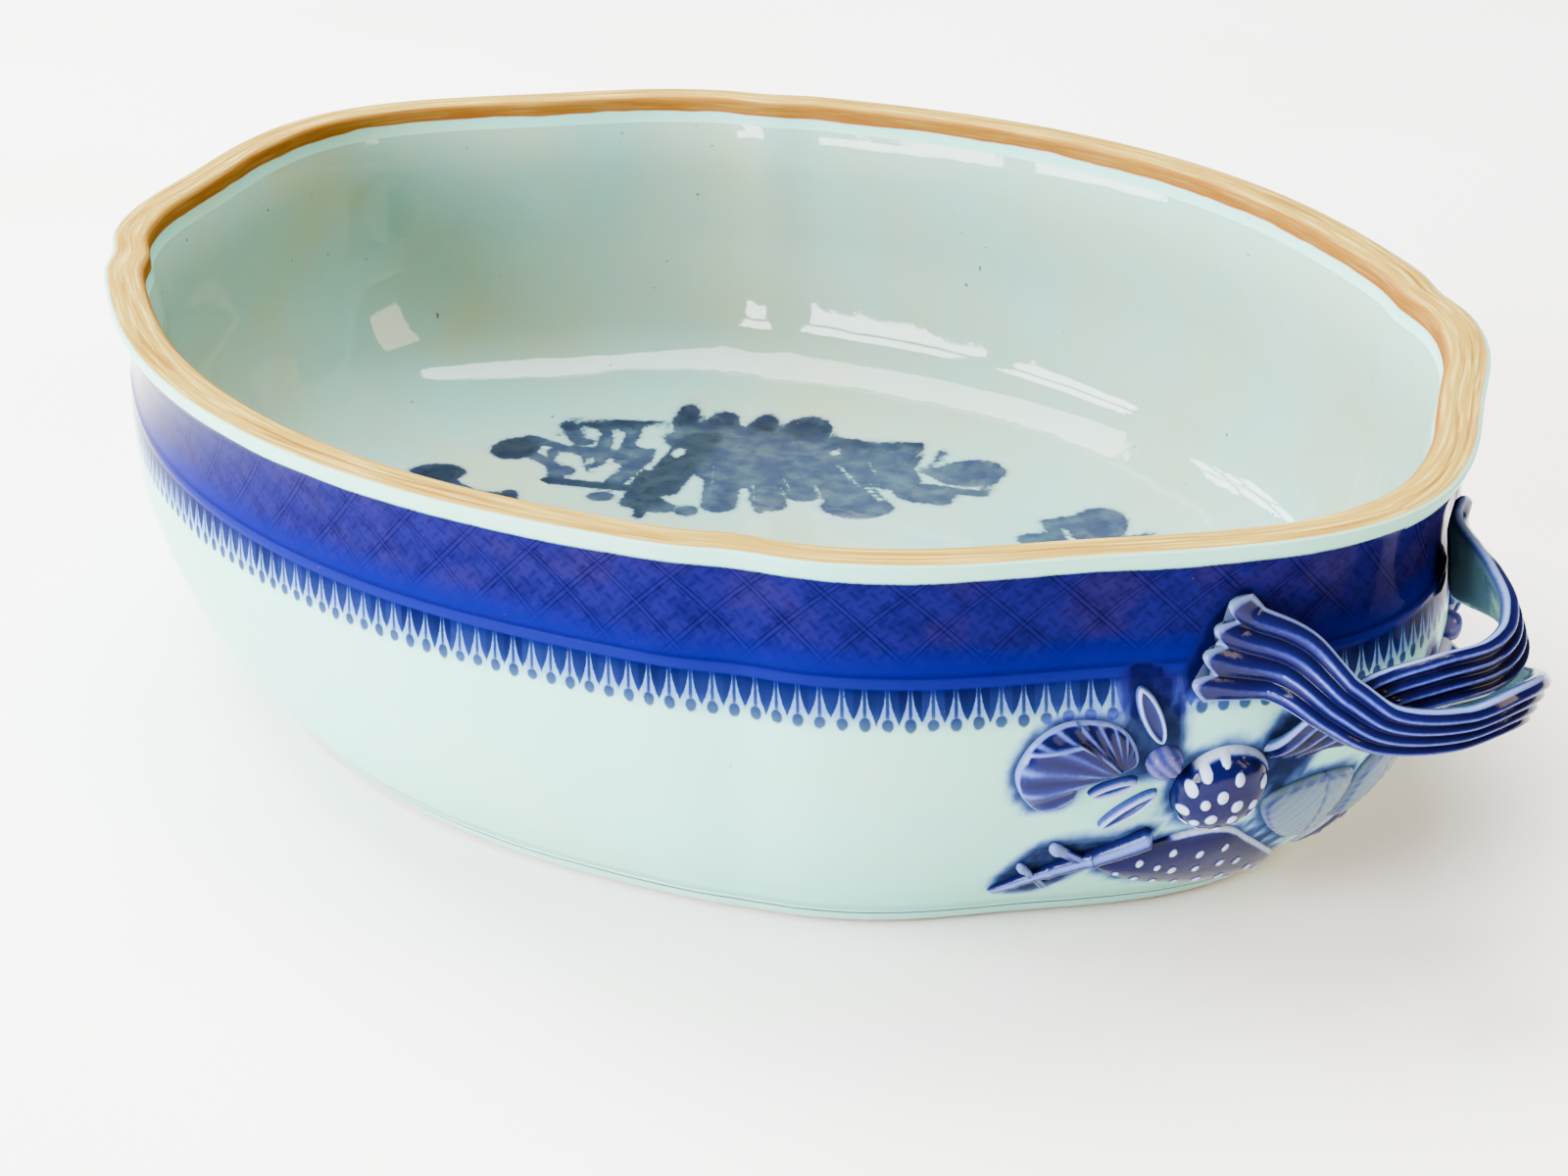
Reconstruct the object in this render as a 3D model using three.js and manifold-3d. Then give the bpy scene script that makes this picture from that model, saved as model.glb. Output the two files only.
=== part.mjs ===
// Oval lobed porcelain serving bowl: the base of a covered dish, without its cover.
// Millimetres, +Z up. The origin is on the table, under the middle of the foot.
// +X runs along the bowl's length to one handle; both ends carry the same handle.
//
// The bowl is one moulded wall and floor on a separate oval foot ring. Each end has two
// ribbed straps: the outer one comes down from a fan-shaped root and crosses over the
// inner one, which climbs to a fan-shaped root of its own. Beside each pair of roots is
// a spray of moulded ornaments: leaf, petals, calyx, strawberry, spotted leaf, twig and
// under leaf.
// Pieces that touch in the fired pot keep a slip line of GAP here.

import * as THREE from 'three';
import { mergeVertices } from 'three/addons/utils/BufferGeometryUtils.js';
import Module from 'manifold-3d';

const wasm = await Module();
wasm.setup();

// ---------------------------------------------------------------- driving dimensions

const HEIGHT = 76.5;
const RIM_HALF_LENGTH = 154.5;
const RIM_HALF_WIDTH = 115;
const RIM_WIDTH = 7.7;
const RIM_ROUND = 0.6;
const GAP = 0.3;

// Plan of the rim: a tip arc and two shoulder arcs at each end, one arc on each side.
// Each shoulder is flattened beside the tip, and where it meets a side there is a
// shallow vertical notch, deepest at the rim.
const TIP_RADIUS = 51;
const TIP_HALF_ANGLE = THREE.MathUtils.degToRad(16.5);
const SHOULDER_RADIUS = 124;
const SIDE_RADIUS = 162.5;
const FLANK = { depth: 3.6, angle: 18.75, width: 9.6 };
const NOTCH = { depth: 1.4, angle: 41.4, width: 3.4, depthAtFoot: 0.3 };
const CORNER_SOFTNESS = 1.2;
const CORNER_BLEND = [THREE.MathUtils.degToRad(24), THREE.MathUtils.degToRad(34)];

// Outer wall: the plan's scale at each height, from the foot to the rim.
const WALL_SCALE = [
  [0, 0.815], [6, 0.85], [13, 0.894], [22, 0.935], [31, 0.963], [41, 0.982],
  [49, 0.982], [57, 0.977], [62, 0.974], [68, 0.979], [73, 0.991], [HEIGHT, 1],
];

const FOOT_HEIGHT = 4.2;
const FOOT_WIDTH = 6.5;
const FOOT_BEVEL = 1;
const FLOOR_HEIGHT = 9;
const WALL_THICKNESS = 6.4;
const FLOOR_FILLET_HEIGHT = 14;
const FLOOR_FILLET_WIDTH = 26;
const AROUND = 80;

const STRAP_THICKNESS = 3.2;
const STRAP_RIBS = 4;
const RIB_DEPTH = 0.3;
const STRAP_STEPS = 32;
const FAN_SCALLOP = 3;

// ---------------------------------------------------------------- the bowl's surface

/** Distance from the origin, along a direction, to the far side of a circle. */
function distanceToCircle(angle, centreX, centreY, radius) {
  const along = centreX * Math.cos(angle) + centreY * Math.sin(angle);
  const offsetSquared = centreX ** 2 + centreY ** 2 - along ** 2;
  return along + Math.sqrt(Math.max(radius ** 2 - offsetSquared, 0));
}

const tipCentre = RIM_HALF_LENGTH - TIP_RADIUS;
const shoulderCentre = new THREE.Vector2(
  tipCentre - (SHOULDER_RADIUS - TIP_RADIUS) * Math.cos(TIP_HALF_ANGLE),
  -(SHOULDER_RADIUS - TIP_RADIUS) * Math.sin(TIP_HALF_ANGLE),
);
const tipEndAngle = Math.atan2(
  TIP_RADIUS * Math.sin(TIP_HALF_ANGLE),
  tipCentre + TIP_RADIUS * Math.cos(TIP_HALF_ANGLE),
);

/** A smooth dip around an angle in degrees. */
function dip(quarter, { depth, angle, width }) {
  return depth * Math.exp(-(((THREE.MathUtils.radToDeg(quarter) - angle) / width) ** 2));
}

/** The outline's full-size radius in a direction, the same in all four quarters. */
function planRadius(angle, z) {
  const quarter = Math.atan2(Math.abs(Math.sin(angle)), Math.abs(Math.cos(angle)));
  const end = quarter < tipEndAngle
    ? distanceToCircle(quarter, tipCentre, 0, TIP_RADIUS)
    : distanceToCircle(quarter, shoulderCentre.x, shoulderCentre.y, SHOULDER_RADIUS);
  const side = distanceToCircle(quarter, 0, RIM_HALF_WIDTH - SIDE_RADIUS, SIDE_RADIUS);
  const softened = Math.max(end, side)
    + CORNER_SOFTNESS * Math.log1p(Math.exp(-Math.abs(end - side) / CORNER_SOFTNESS));
  const blend = THREE.MathUtils.smoothstep(quarter, CORNER_BLEND[0], CORNER_BLEND[1]);
  const notchShare = THREE.MathUtils.lerp(NOTCH.depthAtFoot, 1, z / HEIGHT);
  return THREE.MathUtils.lerp(end, softened, blend)
    - dip(quarter, FLANK)
    - notchShare * dip(quarter, NOTCH);
}

/** A smooth curve through [place, value] pairs, read at one place. */
function smoothThrough(pairs, place) {
  const last = pairs.length - 1;
  let i = 0;
  while (i < last - 1 && place > pairs[i + 1][0]) {
    i += 1;
  }
  const slope = (a, b) => (pairs[b][1] - pairs[a][1]) / (pairs[b][0] - pairs[a][0]);
  const span = pairs[i + 1][0] - pairs[i][0];
  const t = THREE.MathUtils.clamp((place - pairs[i][0]) / span, 0, 1);
  const startSlope = slope(Math.max(i - 1, 0), i + 1) * span;
  const endSlope = slope(i, Math.min(i + 2, last)) * span;
  return pairs[i][1] * (2 * t ** 3 - 3 * t ** 2 + 1)
    + startSlope * (t ** 3 - 2 * t ** 2 + t)
    + pairs[i + 1][1] * (3 * t ** 2 - 2 * t ** 3)
    + endSlope * (t ** 3 - t ** 2);
}

function wallPoint(angle, z) {
  const radius = planRadius(angle, z) * smoothThrough(WALL_SCALE, z);
  return new THREE.Vector3(radius * Math.cos(angle), radius * Math.sin(angle), z);
}

function wallNormal(angle, z) {
  const step = 0.01;
  const along = wallPoint(angle + step, z).sub(wallPoint(angle - step, z));
  const up = wallPoint(angle, z + 0.5).sub(wallPoint(angle, z - 0.5));
  return along.cross(up).normalize();
}

// Arc length around the rim from the +X tip, so ornaments can be laid out flat.
const ARC_STEP = 0.005;
const arcLengths = [0];
for (let angle = ARC_STEP; angle < 1; angle += ARC_STEP) {
  const step = wallPoint(angle, HEIGHT).distanceTo(wallPoint(angle - ARC_STEP, HEIGHT));
  arcLengths.push(arcLengths.at(-1) + step);
}

function angleAtArc(arc) {
  const size = Math.abs(arc);
  const above = arcLengths.findIndex((length) => length > size);
  const share = (size - arcLengths[above - 1]) / (arcLengths[above] - arcLengths[above - 1]);
  return Math.sign(arc) * (above - 1 + share) * ARC_STEP;
}

/** A point laid on the outer wall: arc from the tip, height, and distance off the wall. */
function onWall(arc, z, off) {
  const angle = angleAtArc(arc);
  return wallPoint(angle, z).addScaledVector(wallNormal(angle, z), off);
}

// ---------------------------------------------------------------- mesh helpers

/** Moves every vertex of a geometry and leaves one closed, merged mesh. */
function reshape(geometry, move, mirrored = false) {
  const position = geometry.attributes.position;
  const point = new THREE.Vector3();
  for (let i = 0; i < position.count; i += 1) {
    point.fromBufferAttribute(position, i);
    const moved = move(point, i);
    position.setXYZ(i, moved.x, moved.y, moved.z);
  }
  geometry.deleteAttribute('normal');
  geometry.deleteAttribute('uv');
  const merged = mergeVertices(geometry, 1e-4);
  const corners = [];
  for (let i = 0; i < merged.index.count; i += 3) {
    const [a, b, c] = [0, 1, 2].map((k) => merged.index.getX(i + k));
    if (a !== b && b !== c && c !== a) {
      corners.push(...(mirrored ? [a, c, b] : [a, b, c]));
    }
  }
  merged.setIndex(corners);
  merged.computeVertexNormals();
  return merged;
}

function joined(geometries) {
  const solids = geometries.map((geometry) => new wasm.Manifold(new wasm.Mesh({
    numProp: 3,
    vertProperties: geometry.attributes.position.array,
    triVerts: Uint32Array.from(geometry.index.array),
  })));
  const whole = solids.reduce((sum, solid) => sum.add(solid)).getMesh();
  const geometry = new THREE.BufferGeometry();
  const vertices = new THREE.BufferAttribute(whole.vertProperties, 3);
  geometry.setAttribute('position', vertices);
  geometry.setIndex(new THREE.BufferAttribute(whole.triVerts, 1));
  geometry.computeVertexNormals();
  return geometry;
}

/** A lathe whose round section is replaced by the bowl's plan. */
function ovalLathe(rings) {
  const profile = rings.map((ring) => (
    new THREE.Vector2(RIM_HALF_WIDTH * ring.scale - ring.inset, ring.z)
  ));
  const geometry = new THREE.LatheGeometry(profile, AROUND);
  return reshape(geometry, (point, i) => {
    const ring = rings[i % rings.length];
    const angle = (Math.floor(i / rings.length) % AROUND) * 2 * Math.PI / AROUND;
    const radius = planRadius(angle, ring.z) * ring.scale - ring.inset;
    return new THREE.Vector3(radius * Math.cos(angle), radius * Math.sin(angle), ring.z);
  });
}

// ---------------------------------------------------------------- bowl and foot

function ringAt(z, inset = 0) {
  return { z, scale: smoothThrough(WALL_SCALE, z), inset };
}

function bowlBody() {
  const underside = FOOT_HEIGHT + GAP;
  const outer = [underside, 8, 13, 19, 26, 33, 41, 48, 54, 59, 63, 68, 72, 75];
  const fillet = [0, 0.06, 0.16, 0.3, 0.5, 0.75, 1];
  const filletRings = fillet.map((share) => {
    const z = FLOOR_HEIGHT + FLOOR_FILLET_HEIGHT * share;
    const slump = FLOOR_FILLET_WIDTH * (1 - Math.sqrt(1 - (1 - share) ** 2));
    return ringAt(z, WALL_THICKNESS + slump);
  });
  const innerWall = [32, 41, 49, 56, 62, 68, 73].map((z) => ringAt(z, WALL_THICKNESS));
  const rings = [
    { z: underside, scale: 0, inset: 0 },
    { z: underside, scale: 0.6, inset: 0 },
    ...outer.map((z) => ringAt(z)),
    ringAt(HEIGHT, RIM_ROUND),
    ringAt(HEIGHT, RIM_WIDTH - RIM_ROUND),
    ringAt(HEIGHT - RIM_ROUND, RIM_WIDTH),
    ...innerWall.reverse(),
    ...filletRings.reverse(),
    { z: FLOOR_HEIGHT, scale: 0, inset: 0 },
  ];
  return ovalLathe(rings);
}

function footRing() {
  const rings = [
    ringAt(0, FOOT_BEVEL),
    ringAt(FOOT_BEVEL),
    ringAt(FOOT_HEIGHT),
    ringAt(FOOT_HEIGHT, FOOT_WIDTH),
    ringAt(0, FOOT_WIDTH - FOOT_BEVEL),
  ];
  return ovalLathe([...rings, rings[0]]);
}

// ---------------------------------------------------------------- handle straps

/** Each strap runs from its fan-shaped root to its plain root on the other side. */
const outerStrap = {
  fanRoot: [onWall(-32.2, 60.4, 2), onWall(-26.5, 58, 2.8)],
  free: [
    [149.7, -22, 56.8], [159, -20.3, 52.6], [164.6, -17, 49.8], [171.4, -8.4, 49.4],
    [174.4, 0, 50.8], [172.2, 9, 49], [165, 15.5, 44.8], [155.5, 18.4, 40.4],
  ],
  plainRoot: [onWall(17.6, 38.8, 2)],
  lean: -0.3,
};
const innerStrap = {
  fanRoot: [onWall(32.2, 59.4, 2), onWall(26.5, 58.2, 2.8)],
  free: [
    [150.5, 22.3, 58.4], [158.5, 17.5, 59], [166, 11.5, 58.6], [169.5, 6, 57.4],
    [170, 0, 56.4], [166.6, -8, 55.4], [160.4, -13.6, 52], [154.5, -17.3, 45.5],
  ],
  plainRoot: [onWall(-17.6, 38.8, 2)],
  lean: 0.25,
};
const STRAP_HALF_WIDTH = [[0, 9.6], [0.1, 7.5], [0.2, 5.5], [0.35, 4.6], [0.6, 4.2], [1, 5]];
const FAN_LENGTH = 0.08;

function strapCurve(strap) {
  const free = strap.free.map((point) => new THREE.Vector3(...point));
  const points = [...strap.fanRoot, ...free, ...strap.plainRoot];
  return new THREE.CatmullRomCurve3(points, false, 'centripetal');
}

/** Ribbed on its outward face and plain on its inner face; one unit is the half width. */
function strapSection() {
  const section = new THREE.Shape();
  const edge = 0.28;
  section.moveTo(-1, -edge);
  section.lineTo(-0.86, -0.5);
  section.lineTo(0, -0.5);
  section.lineTo(0.86, -0.5);
  section.lineTo(1, -edge);
  for (let i = 0; i <= 2 * STRAP_RIBS; i += 1) {
    const across = 0.94 - 1.88 * i / (2 * STRAP_RIBS);
    section.lineTo(across, i % 2 === 0 ? 0.5 - RIB_DEPTH : 0.5);
  }
  section.closePath();
  return section;
}

function handleStrap(strap) {
  const curve = strapCurve(strap);
  const geometry = new THREE.ExtrudeGeometry(strapSection(), {
    depth: 1,
    steps: STRAP_STEPS,
    bevelEnabled: false,
  });
  return reshape(geometry, (point) => {
    const along = point.z;
    const onWallShare = 1 - THREE.MathUtils.smoothstep(along, 0.05, 0.16);
    const lobes = Math.abs(Math.sin(point.x * STRAP_RIBS * Math.PI / 2));
    const push = FAN_SCALLOP * (1 - lobes) * Math.max(1 - along / FAN_LENGTH, 0);
    const centre = curve.getPointAt(along);
    const tangent = curve.getTangentAt(along);
    const face = new THREE.Vector3(centre.x - 100, centre.y * 0.9, 0).normalize();
    face.z = strap.lean * Math.sin(along * Math.PI);
    const side = new THREE.Vector3().crossVectors(face, tangent).normalize();
    const normal = new THREE.Vector3().crossVectors(tangent, side).normalize();
    const free = centre
      .addScaledVector(side, point.x * smoothThrough(STRAP_HALF_WIDTH, along))
      .addScaledVector(normal, point.y * STRAP_THICKNESS)
      .addScaledVector(tangent, push);
    const angle = Math.atan2(free.y, free.x);
    const height = GAP + (point.y + 0.5) * STRAP_THICKNESS;
    const laid = wallPoint(angle, free.z).addScaledVector(wallNormal(angle, free.z), height);
    return free.lerp(laid, onWallShare);
  });
}

// ---------------------------------------------------------------- moulded ornaments
// Each is laid out flat: arc from the handle's middle, and height above the table.

/** A low cushion with a flat back that follows the wall, inside a closed outline. */
function cushion(outline, centre, thickness, segments, layers, side) {
  const curve = new THREE.CatmullRomCurve3(
    outline.map(([arc, z]) => new THREE.Vector3(arc, z, 0)),
    true,
    'centripetal',
  );
  const middle = new THREE.Vector3(...centre, 0);
  const geometry = new THREE.SphereGeometry(1, segments, 2 * layers);
  const columns = segments + 1;
  const clockwise = THREE.ShapeUtils.area(curve.getPoints(40)) < 0;
  return reshape(geometry, (point, i) => {
    const around = (i % columns) % segments / segments;
    const layer = Math.floor(i / columns);
    const polar = layer * Math.PI / (2 * layers);
    const flat = middle.clone().lerp(curve.getPoint(around), Math.sin(polar));
    const off = GAP + thickness * Math.max(Math.cos(polar), 0) ** 0.8 + (polar < 1.6 ? 0.4 : 0);
    return onWall(side * flat.x, flat.y, off);
  }, clockwise === (side > 0));
}

function ellipseOutline(centre, halfLength, halfWidth, direction) {
  const turn = 2 * Math.PI;
  const ellipse = new THREE.EllipseCurve(
    ...centre, halfLength, halfWidth, 0, turn, false, direction,
  );
  return ellipse.getPoints(8).slice(0, -1).map((point) => [point.x, point.y]);
}

/** A round stick on the wall between two laid-out points, thinner at its far end. */
function stick(start, end, startRadius, endRadius, segments, steps, side) {
  const from = new THREE.Vector2(...start);
  const to = new THREE.Vector2(...end);
  const length = from.distanceTo(to);
  const across = new THREE.Vector2(to.y - from.y, from.x - to.x).normalize();
  const geometry = new THREE.CylinderGeometry(endRadius, startRadius, length, segments, steps);
  return reshape(geometry, (point) => {
    const share = point.y / length + 0.5;
    const radius = THREE.MathUtils.lerp(startRadius, endRadius, share);
    const flat = from.clone().lerp(to, share).addScaledVector(across, point.x);
    return onWall(side * flat.x, flat.y, GAP + radius + point.z);
  }, side < 0);
}

function twig(side) {
  const stem = stick([37, 25], [61.5, 11.3], 1.9, 0.6, 8, 10, side);
  const upperThorn = stick([46.2, 18.6], [54, 23.6], 0.9, 0.9, 6, 4, side);
  const outerThorn = stick([51.6, 12.4], [58.4, 19.2], 0.7, 0.6, 6, 4, side);
  return joined([stem, upperThorn, outerThorn]);
}

function petal(base, tip, halfWidth, side) {
  const centre = [(base[0] + tip[0]) / 2, (base[1] + tip[1]) / 2];
  const halfLength = Math.hypot(tip[0] - base[0], tip[1] - base[1]) / 2;
  const direction = Math.atan2(tip[1] - base[1], tip[0] - base[0]);
  return cushion(ellipseOutline(centre, halfLength, halfWidth, direction), centre, 1.3, 10, 2, side);
}

const FAN_LEAF = [
  [62.5, 40.3], [61.3, 35.6], [58, 32.3], [54, 32.4], [52.8, 35], [51.4, 36.9], [47, 38.3],
  [43.4, 39.5], [43.4, 42.4], [45.4, 46], [49, 47.9], [55, 48.1], [60, 45.2],
];
const SPOTTED_LEAF = [
  [43.5, 16.2], [39.5, 19], [34.5, 22.6], [28.5, 24.2], [23, 23.6], [17.5, 19.8], [10, 14.4],
  [4, 9.8], [5, 7.6], [12, 7.2], [20, 8], [30, 10.3], [37, 12.2],
];
const UNDER_LEAF = [
  [19.4, 28.6], [15.5, 31.6], [8, 32.4], [1.4, 30.2], [1.2, 22], [4, 16.4], [10, 18], [16, 22.8],
];
const STRAWBERRY = { centre: [28.7, 34.2], halfLength: 8, halfWidth: 7.6, direction: -0.5 };
const CALYX = { centre: [38.9, 40], halfLength: 2.8, halfWidth: 2.5, direction: 0 };

function ellipseCushion({ centre, halfLength, halfWidth, direction }, ...rest) {
  return cushion(ellipseOutline(centre, halfLength, halfWidth, direction), centre, ...rest);
}

/** The ornaments beside one pair of roots; side is +1 towards +Y and -1 towards -Y. */
const ornaments = {
  fan_leaf: (side) => cushion(FAN_LEAF, [53, 40.6], 1.8, 20, 3, side),
  upright_petal: (side) => petal([39.6, 43.5], [43.3, 53.3], 1.8, side),
  upper_petal: (side) => petal([42.6, 37], [50.3, 34.6], 1.3, side),
  lower_petal: (side) => petal([39, 34.4], [47, 27.2], 1.6, side),
  calyx: (side) => ellipseCushion(CALYX, 2.4, 10, 2, side),
  strawberry: (side) => ellipseCushion(STRAWBERRY, 5, 16, 3, side),
  spotted_leaf: (side) => cushion(SPOTTED_LEAF, [27, 15.6], 1.9, 20, 3, side),
  twig,
  under_leaf: (side) => cushion(UNDER_LEAF, [9.5, 25], 1.8, 16, 3, side),
};

// ---------------------------------------------------------------- the assembly

const whiteGlaze = { color: 0xcfdcd2, roughness: 0.12, metalness: 0 };
const cobaltGlaze = { color: 0x4550a4, roughness: 0.16, metalness: 0 };
const paleLeafGlaze = { color: 0xb9c3cf, roughness: 0.16, metalness: 0 };

function piece(name, geometry, finish) {
  const mesh = new THREE.Mesh(geometry, new THREE.MeshStandardMaterial(finish));
  mesh.name = name;
  return mesh;
}

/** One handle with a spray of ornaments on each side of it, built at the +X end. */
function handleEnd(end, sideNames) {
  const group = new THREE.Group();
  group.add(piece(`${end}_outer_strap`, handleStrap(outerStrap), cobaltGlaze));
  group.add(piece(`${end}_inner_strap`, handleStrap(innerStrap), cobaltGlaze));
  for (const [side, sideName] of sideNames) {
    for (const [name, make] of Object.entries(ornaments)) {
      const finish = name === 'under_leaf' ? paleLeafGlaze : cobaltGlaze;
      group.add(piece(`${end}_${sideName}_${name}`, make(side), finish));
    }
  }
  return group;
}

const bowl = new THREE.Group();
bowl.add(piece('bowl_body', bowlBody(), whiteGlaze));
bowl.add(piece('foot_ring', footRing(), whiteGlaze));
bowl.add(handleEnd('right', [[-1, 'near'], [1, 'far']]));
const leftEnd = handleEnd('left', [[1, 'near'], [-1, 'far']]);
leftEnd.rotation.z = Math.PI;
bowl.add(leftEnd);

export default bowl;
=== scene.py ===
"""Blue-and-white porcelain serving bowl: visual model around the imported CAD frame.

Lengths in the shape functions are millimetres; meshes are written in metres.
Walls, straps and ornaments are rebuilt finely where the CAD pieces lie, and the
painting is procedural: the border from the wall's own arc and depth, the floor
flowers and the ornaments from distances worked out per vertex.
"""
import math

import bmesh
import bpy
import numpy as np
from mathutils import Matrix, Vector


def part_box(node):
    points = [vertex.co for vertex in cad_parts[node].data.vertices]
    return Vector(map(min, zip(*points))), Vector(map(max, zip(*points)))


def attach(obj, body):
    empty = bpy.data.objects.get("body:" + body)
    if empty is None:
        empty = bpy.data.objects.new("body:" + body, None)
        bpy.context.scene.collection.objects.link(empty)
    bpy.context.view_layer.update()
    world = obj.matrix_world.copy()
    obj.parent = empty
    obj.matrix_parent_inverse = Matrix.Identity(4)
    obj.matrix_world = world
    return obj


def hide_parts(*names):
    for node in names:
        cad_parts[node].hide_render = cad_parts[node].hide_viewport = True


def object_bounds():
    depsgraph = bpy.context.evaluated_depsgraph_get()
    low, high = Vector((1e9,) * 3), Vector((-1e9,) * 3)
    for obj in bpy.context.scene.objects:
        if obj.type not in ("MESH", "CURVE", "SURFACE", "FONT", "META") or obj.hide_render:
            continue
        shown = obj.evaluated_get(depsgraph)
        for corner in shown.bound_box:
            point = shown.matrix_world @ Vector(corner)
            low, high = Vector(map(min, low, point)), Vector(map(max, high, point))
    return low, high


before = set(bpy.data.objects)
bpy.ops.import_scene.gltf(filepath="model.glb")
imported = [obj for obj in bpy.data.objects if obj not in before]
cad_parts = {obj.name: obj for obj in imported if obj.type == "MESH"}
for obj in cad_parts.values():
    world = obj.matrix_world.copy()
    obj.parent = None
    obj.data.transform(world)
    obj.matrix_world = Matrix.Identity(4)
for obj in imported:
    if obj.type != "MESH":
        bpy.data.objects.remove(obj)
cad_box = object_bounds()

MM = 0.001

# ------------------------------------------------------------------ sizes, as in the CAD

HEIGHT = cad_box[1][2] / MM
FOOT_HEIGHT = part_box("foot_ring")[1][2] / MM
BODY_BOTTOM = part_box("bowl_body")[0][2] / MM
RIM_HALF_LENGTH = 154.5
RIM_HALF_WIDTH = 115.0
RIM_WIDTH = 7.7
TIP_RADIUS = 51.0
TIP_HALF_ANGLE = math.radians(16.5)
SHOULDER_RADIUS = 124.0
SIDE_RADIUS = 162.5
FLANK = (3.6, math.radians(18.75), math.radians(9.6))
NOTCH = (1.4, math.radians(41.4), math.radians(3.4))
NOTCH_AT_FOOT = 0.3
CORNER_SOFTNESS = 1.2
CORNER_BLEND = (math.radians(24), math.radians(34))
WALL_SCALE = [
    (0, 0.815), (6, 0.85), (13, 0.894), (22, 0.935), (31, 0.963), (41, 0.982),
    (49, 0.982), (57, 0.977), (62, 0.974), (68, 0.979), (73, 0.991), (76.5, 1.0),
]
FLOOR_HEIGHT = 9.0
WALL_THICKNESS = 6.4
FLOOR_FILLET_HEIGHT = 14.0
FLOOR_FILLET_WIDTH = 26.0
STRAP_THICKNESS = 3.2
STRAP_RIBS = 4

AROUND = 640


# ------------------------------------------------------------------ the bowl's surface

def smoothstep(low, high, value):
    t = np.clip((value - low) / (high - low), 0, 1)
    return t * t * (3 - 2 * t)


def circle_reach(angle, cx, cy, radius):
    along = cx * np.cos(angle) + cy * np.sin(angle)
    return along + np.sqrt(np.maximum(radius**2 - (cx**2 + cy**2 - along**2), 0))


def plan_radius(angle, z):
    """The outline at full size; its notches fade towards the foot."""
    quarter = np.arctan2(np.abs(np.sin(angle)), np.abs(np.cos(angle)))
    tip = RIM_HALF_LENGTH - TIP_RADIUS
    reach = SHOULDER_RADIUS - TIP_RADIUS
    sx = tip - reach * math.cos(TIP_HALF_ANGLE)
    sy = -reach * math.sin(TIP_HALF_ANGLE)
    tip_end = math.atan2(
        TIP_RADIUS * math.sin(TIP_HALF_ANGLE), tip + TIP_RADIUS * math.cos(TIP_HALF_ANGLE)
    )
    end = np.where(
        quarter < tip_end,
        circle_reach(quarter, tip, 0, TIP_RADIUS),
        circle_reach(quarter, sx, sy, SHOULDER_RADIUS),
    )
    side = circle_reach(quarter, 0, RIM_HALF_WIDTH - SIDE_RADIUS, SIDE_RADIUS)
    soft = np.maximum(end, side) + CORNER_SOFTNESS * np.log1p(
        np.exp(-np.abs(end - side) / CORNER_SOFTNESS)
    )
    blend = smoothstep(CORNER_BLEND[0], CORNER_BLEND[1], quarter)
    fade = NOTCH_AT_FOOT + (1 - NOTCH_AT_FOOT) * np.clip(z / HEIGHT, 0, 1)
    flank, notch = (
        depth * np.exp(-(((quarter - middle) / width) ** 2))
        for depth, middle, width in (FLANK, NOTCH)
    )
    return end * (1 - blend) + soft * blend - flank - fade * notch


def smooth_through(pairs, place):
    """A smooth curve through (place, value) pairs, as the CAD uses."""
    xs = np.array([p[0] for p in pairs], float)
    ys = np.array([p[1] for p in pairs], float)
    i = np.clip(np.searchsorted(xs, place, side="left") - 1, 0, len(xs) - 2)
    before = np.maximum(i - 1, 0)
    after = np.minimum(i + 2, len(xs) - 1)
    span = xs[i + 1] - xs[i]
    t = np.clip((place - xs[i]) / span, 0, 1)
    m0 = (ys[i + 1] - ys[before]) / (xs[i + 1] - xs[before]) * span
    m1 = (ys[after] - ys[i]) / (xs[after] - xs[i]) * span
    return (
        ys[i] * (2 * t**3 - 3 * t**2 + 1)
        + m0 * (t**3 - 2 * t**2 + t)
        + ys[i + 1] * (3 * t**2 - 2 * t**3)
        + m1 * (t**3 - t**2)
    )


def wall_point(angle, z):
    radius = plan_radius(angle, z) * smooth_through(WALL_SCALE, z)
    return np.stack(
        [radius * np.cos(angle), radius * np.sin(angle), np.broadcast_to(z, radius.shape)], -1
    )


def wall_normal(angle, z):
    along = wall_point(angle + 0.01, z) - wall_point(angle - 0.01, z)
    up = wall_point(angle, z + 0.5) - wall_point(angle, z - 0.5)
    normal = np.cross(along, up)
    return normal / np.linalg.norm(normal, axis=-1, keepdims=True)


ARC_ANGLES = np.linspace(0, 2 * math.pi, 2881)
RIM_LINE = wall_point(ARC_ANGLES, np.full_like(ARC_ANGLES, HEIGHT))
ARCS = np.concatenate([[0], np.cumsum(np.linalg.norm(np.diff(RIM_LINE, axis=0), axis=1))])
RIM_LENGTH = float(ARCS[-1])


def on_wall(arc, z, off):
    """Lay flat layout points on the outer wall, near the +X end."""
    angle = np.sign(arc) * np.interp(np.abs(arc), ARCS, ARC_ANGLES)
    return wall_point(angle, z) + wall_normal(angle, z) * np.asarray(off)[..., None]


# ------------------------------------------------------------------ mesh helpers

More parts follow.
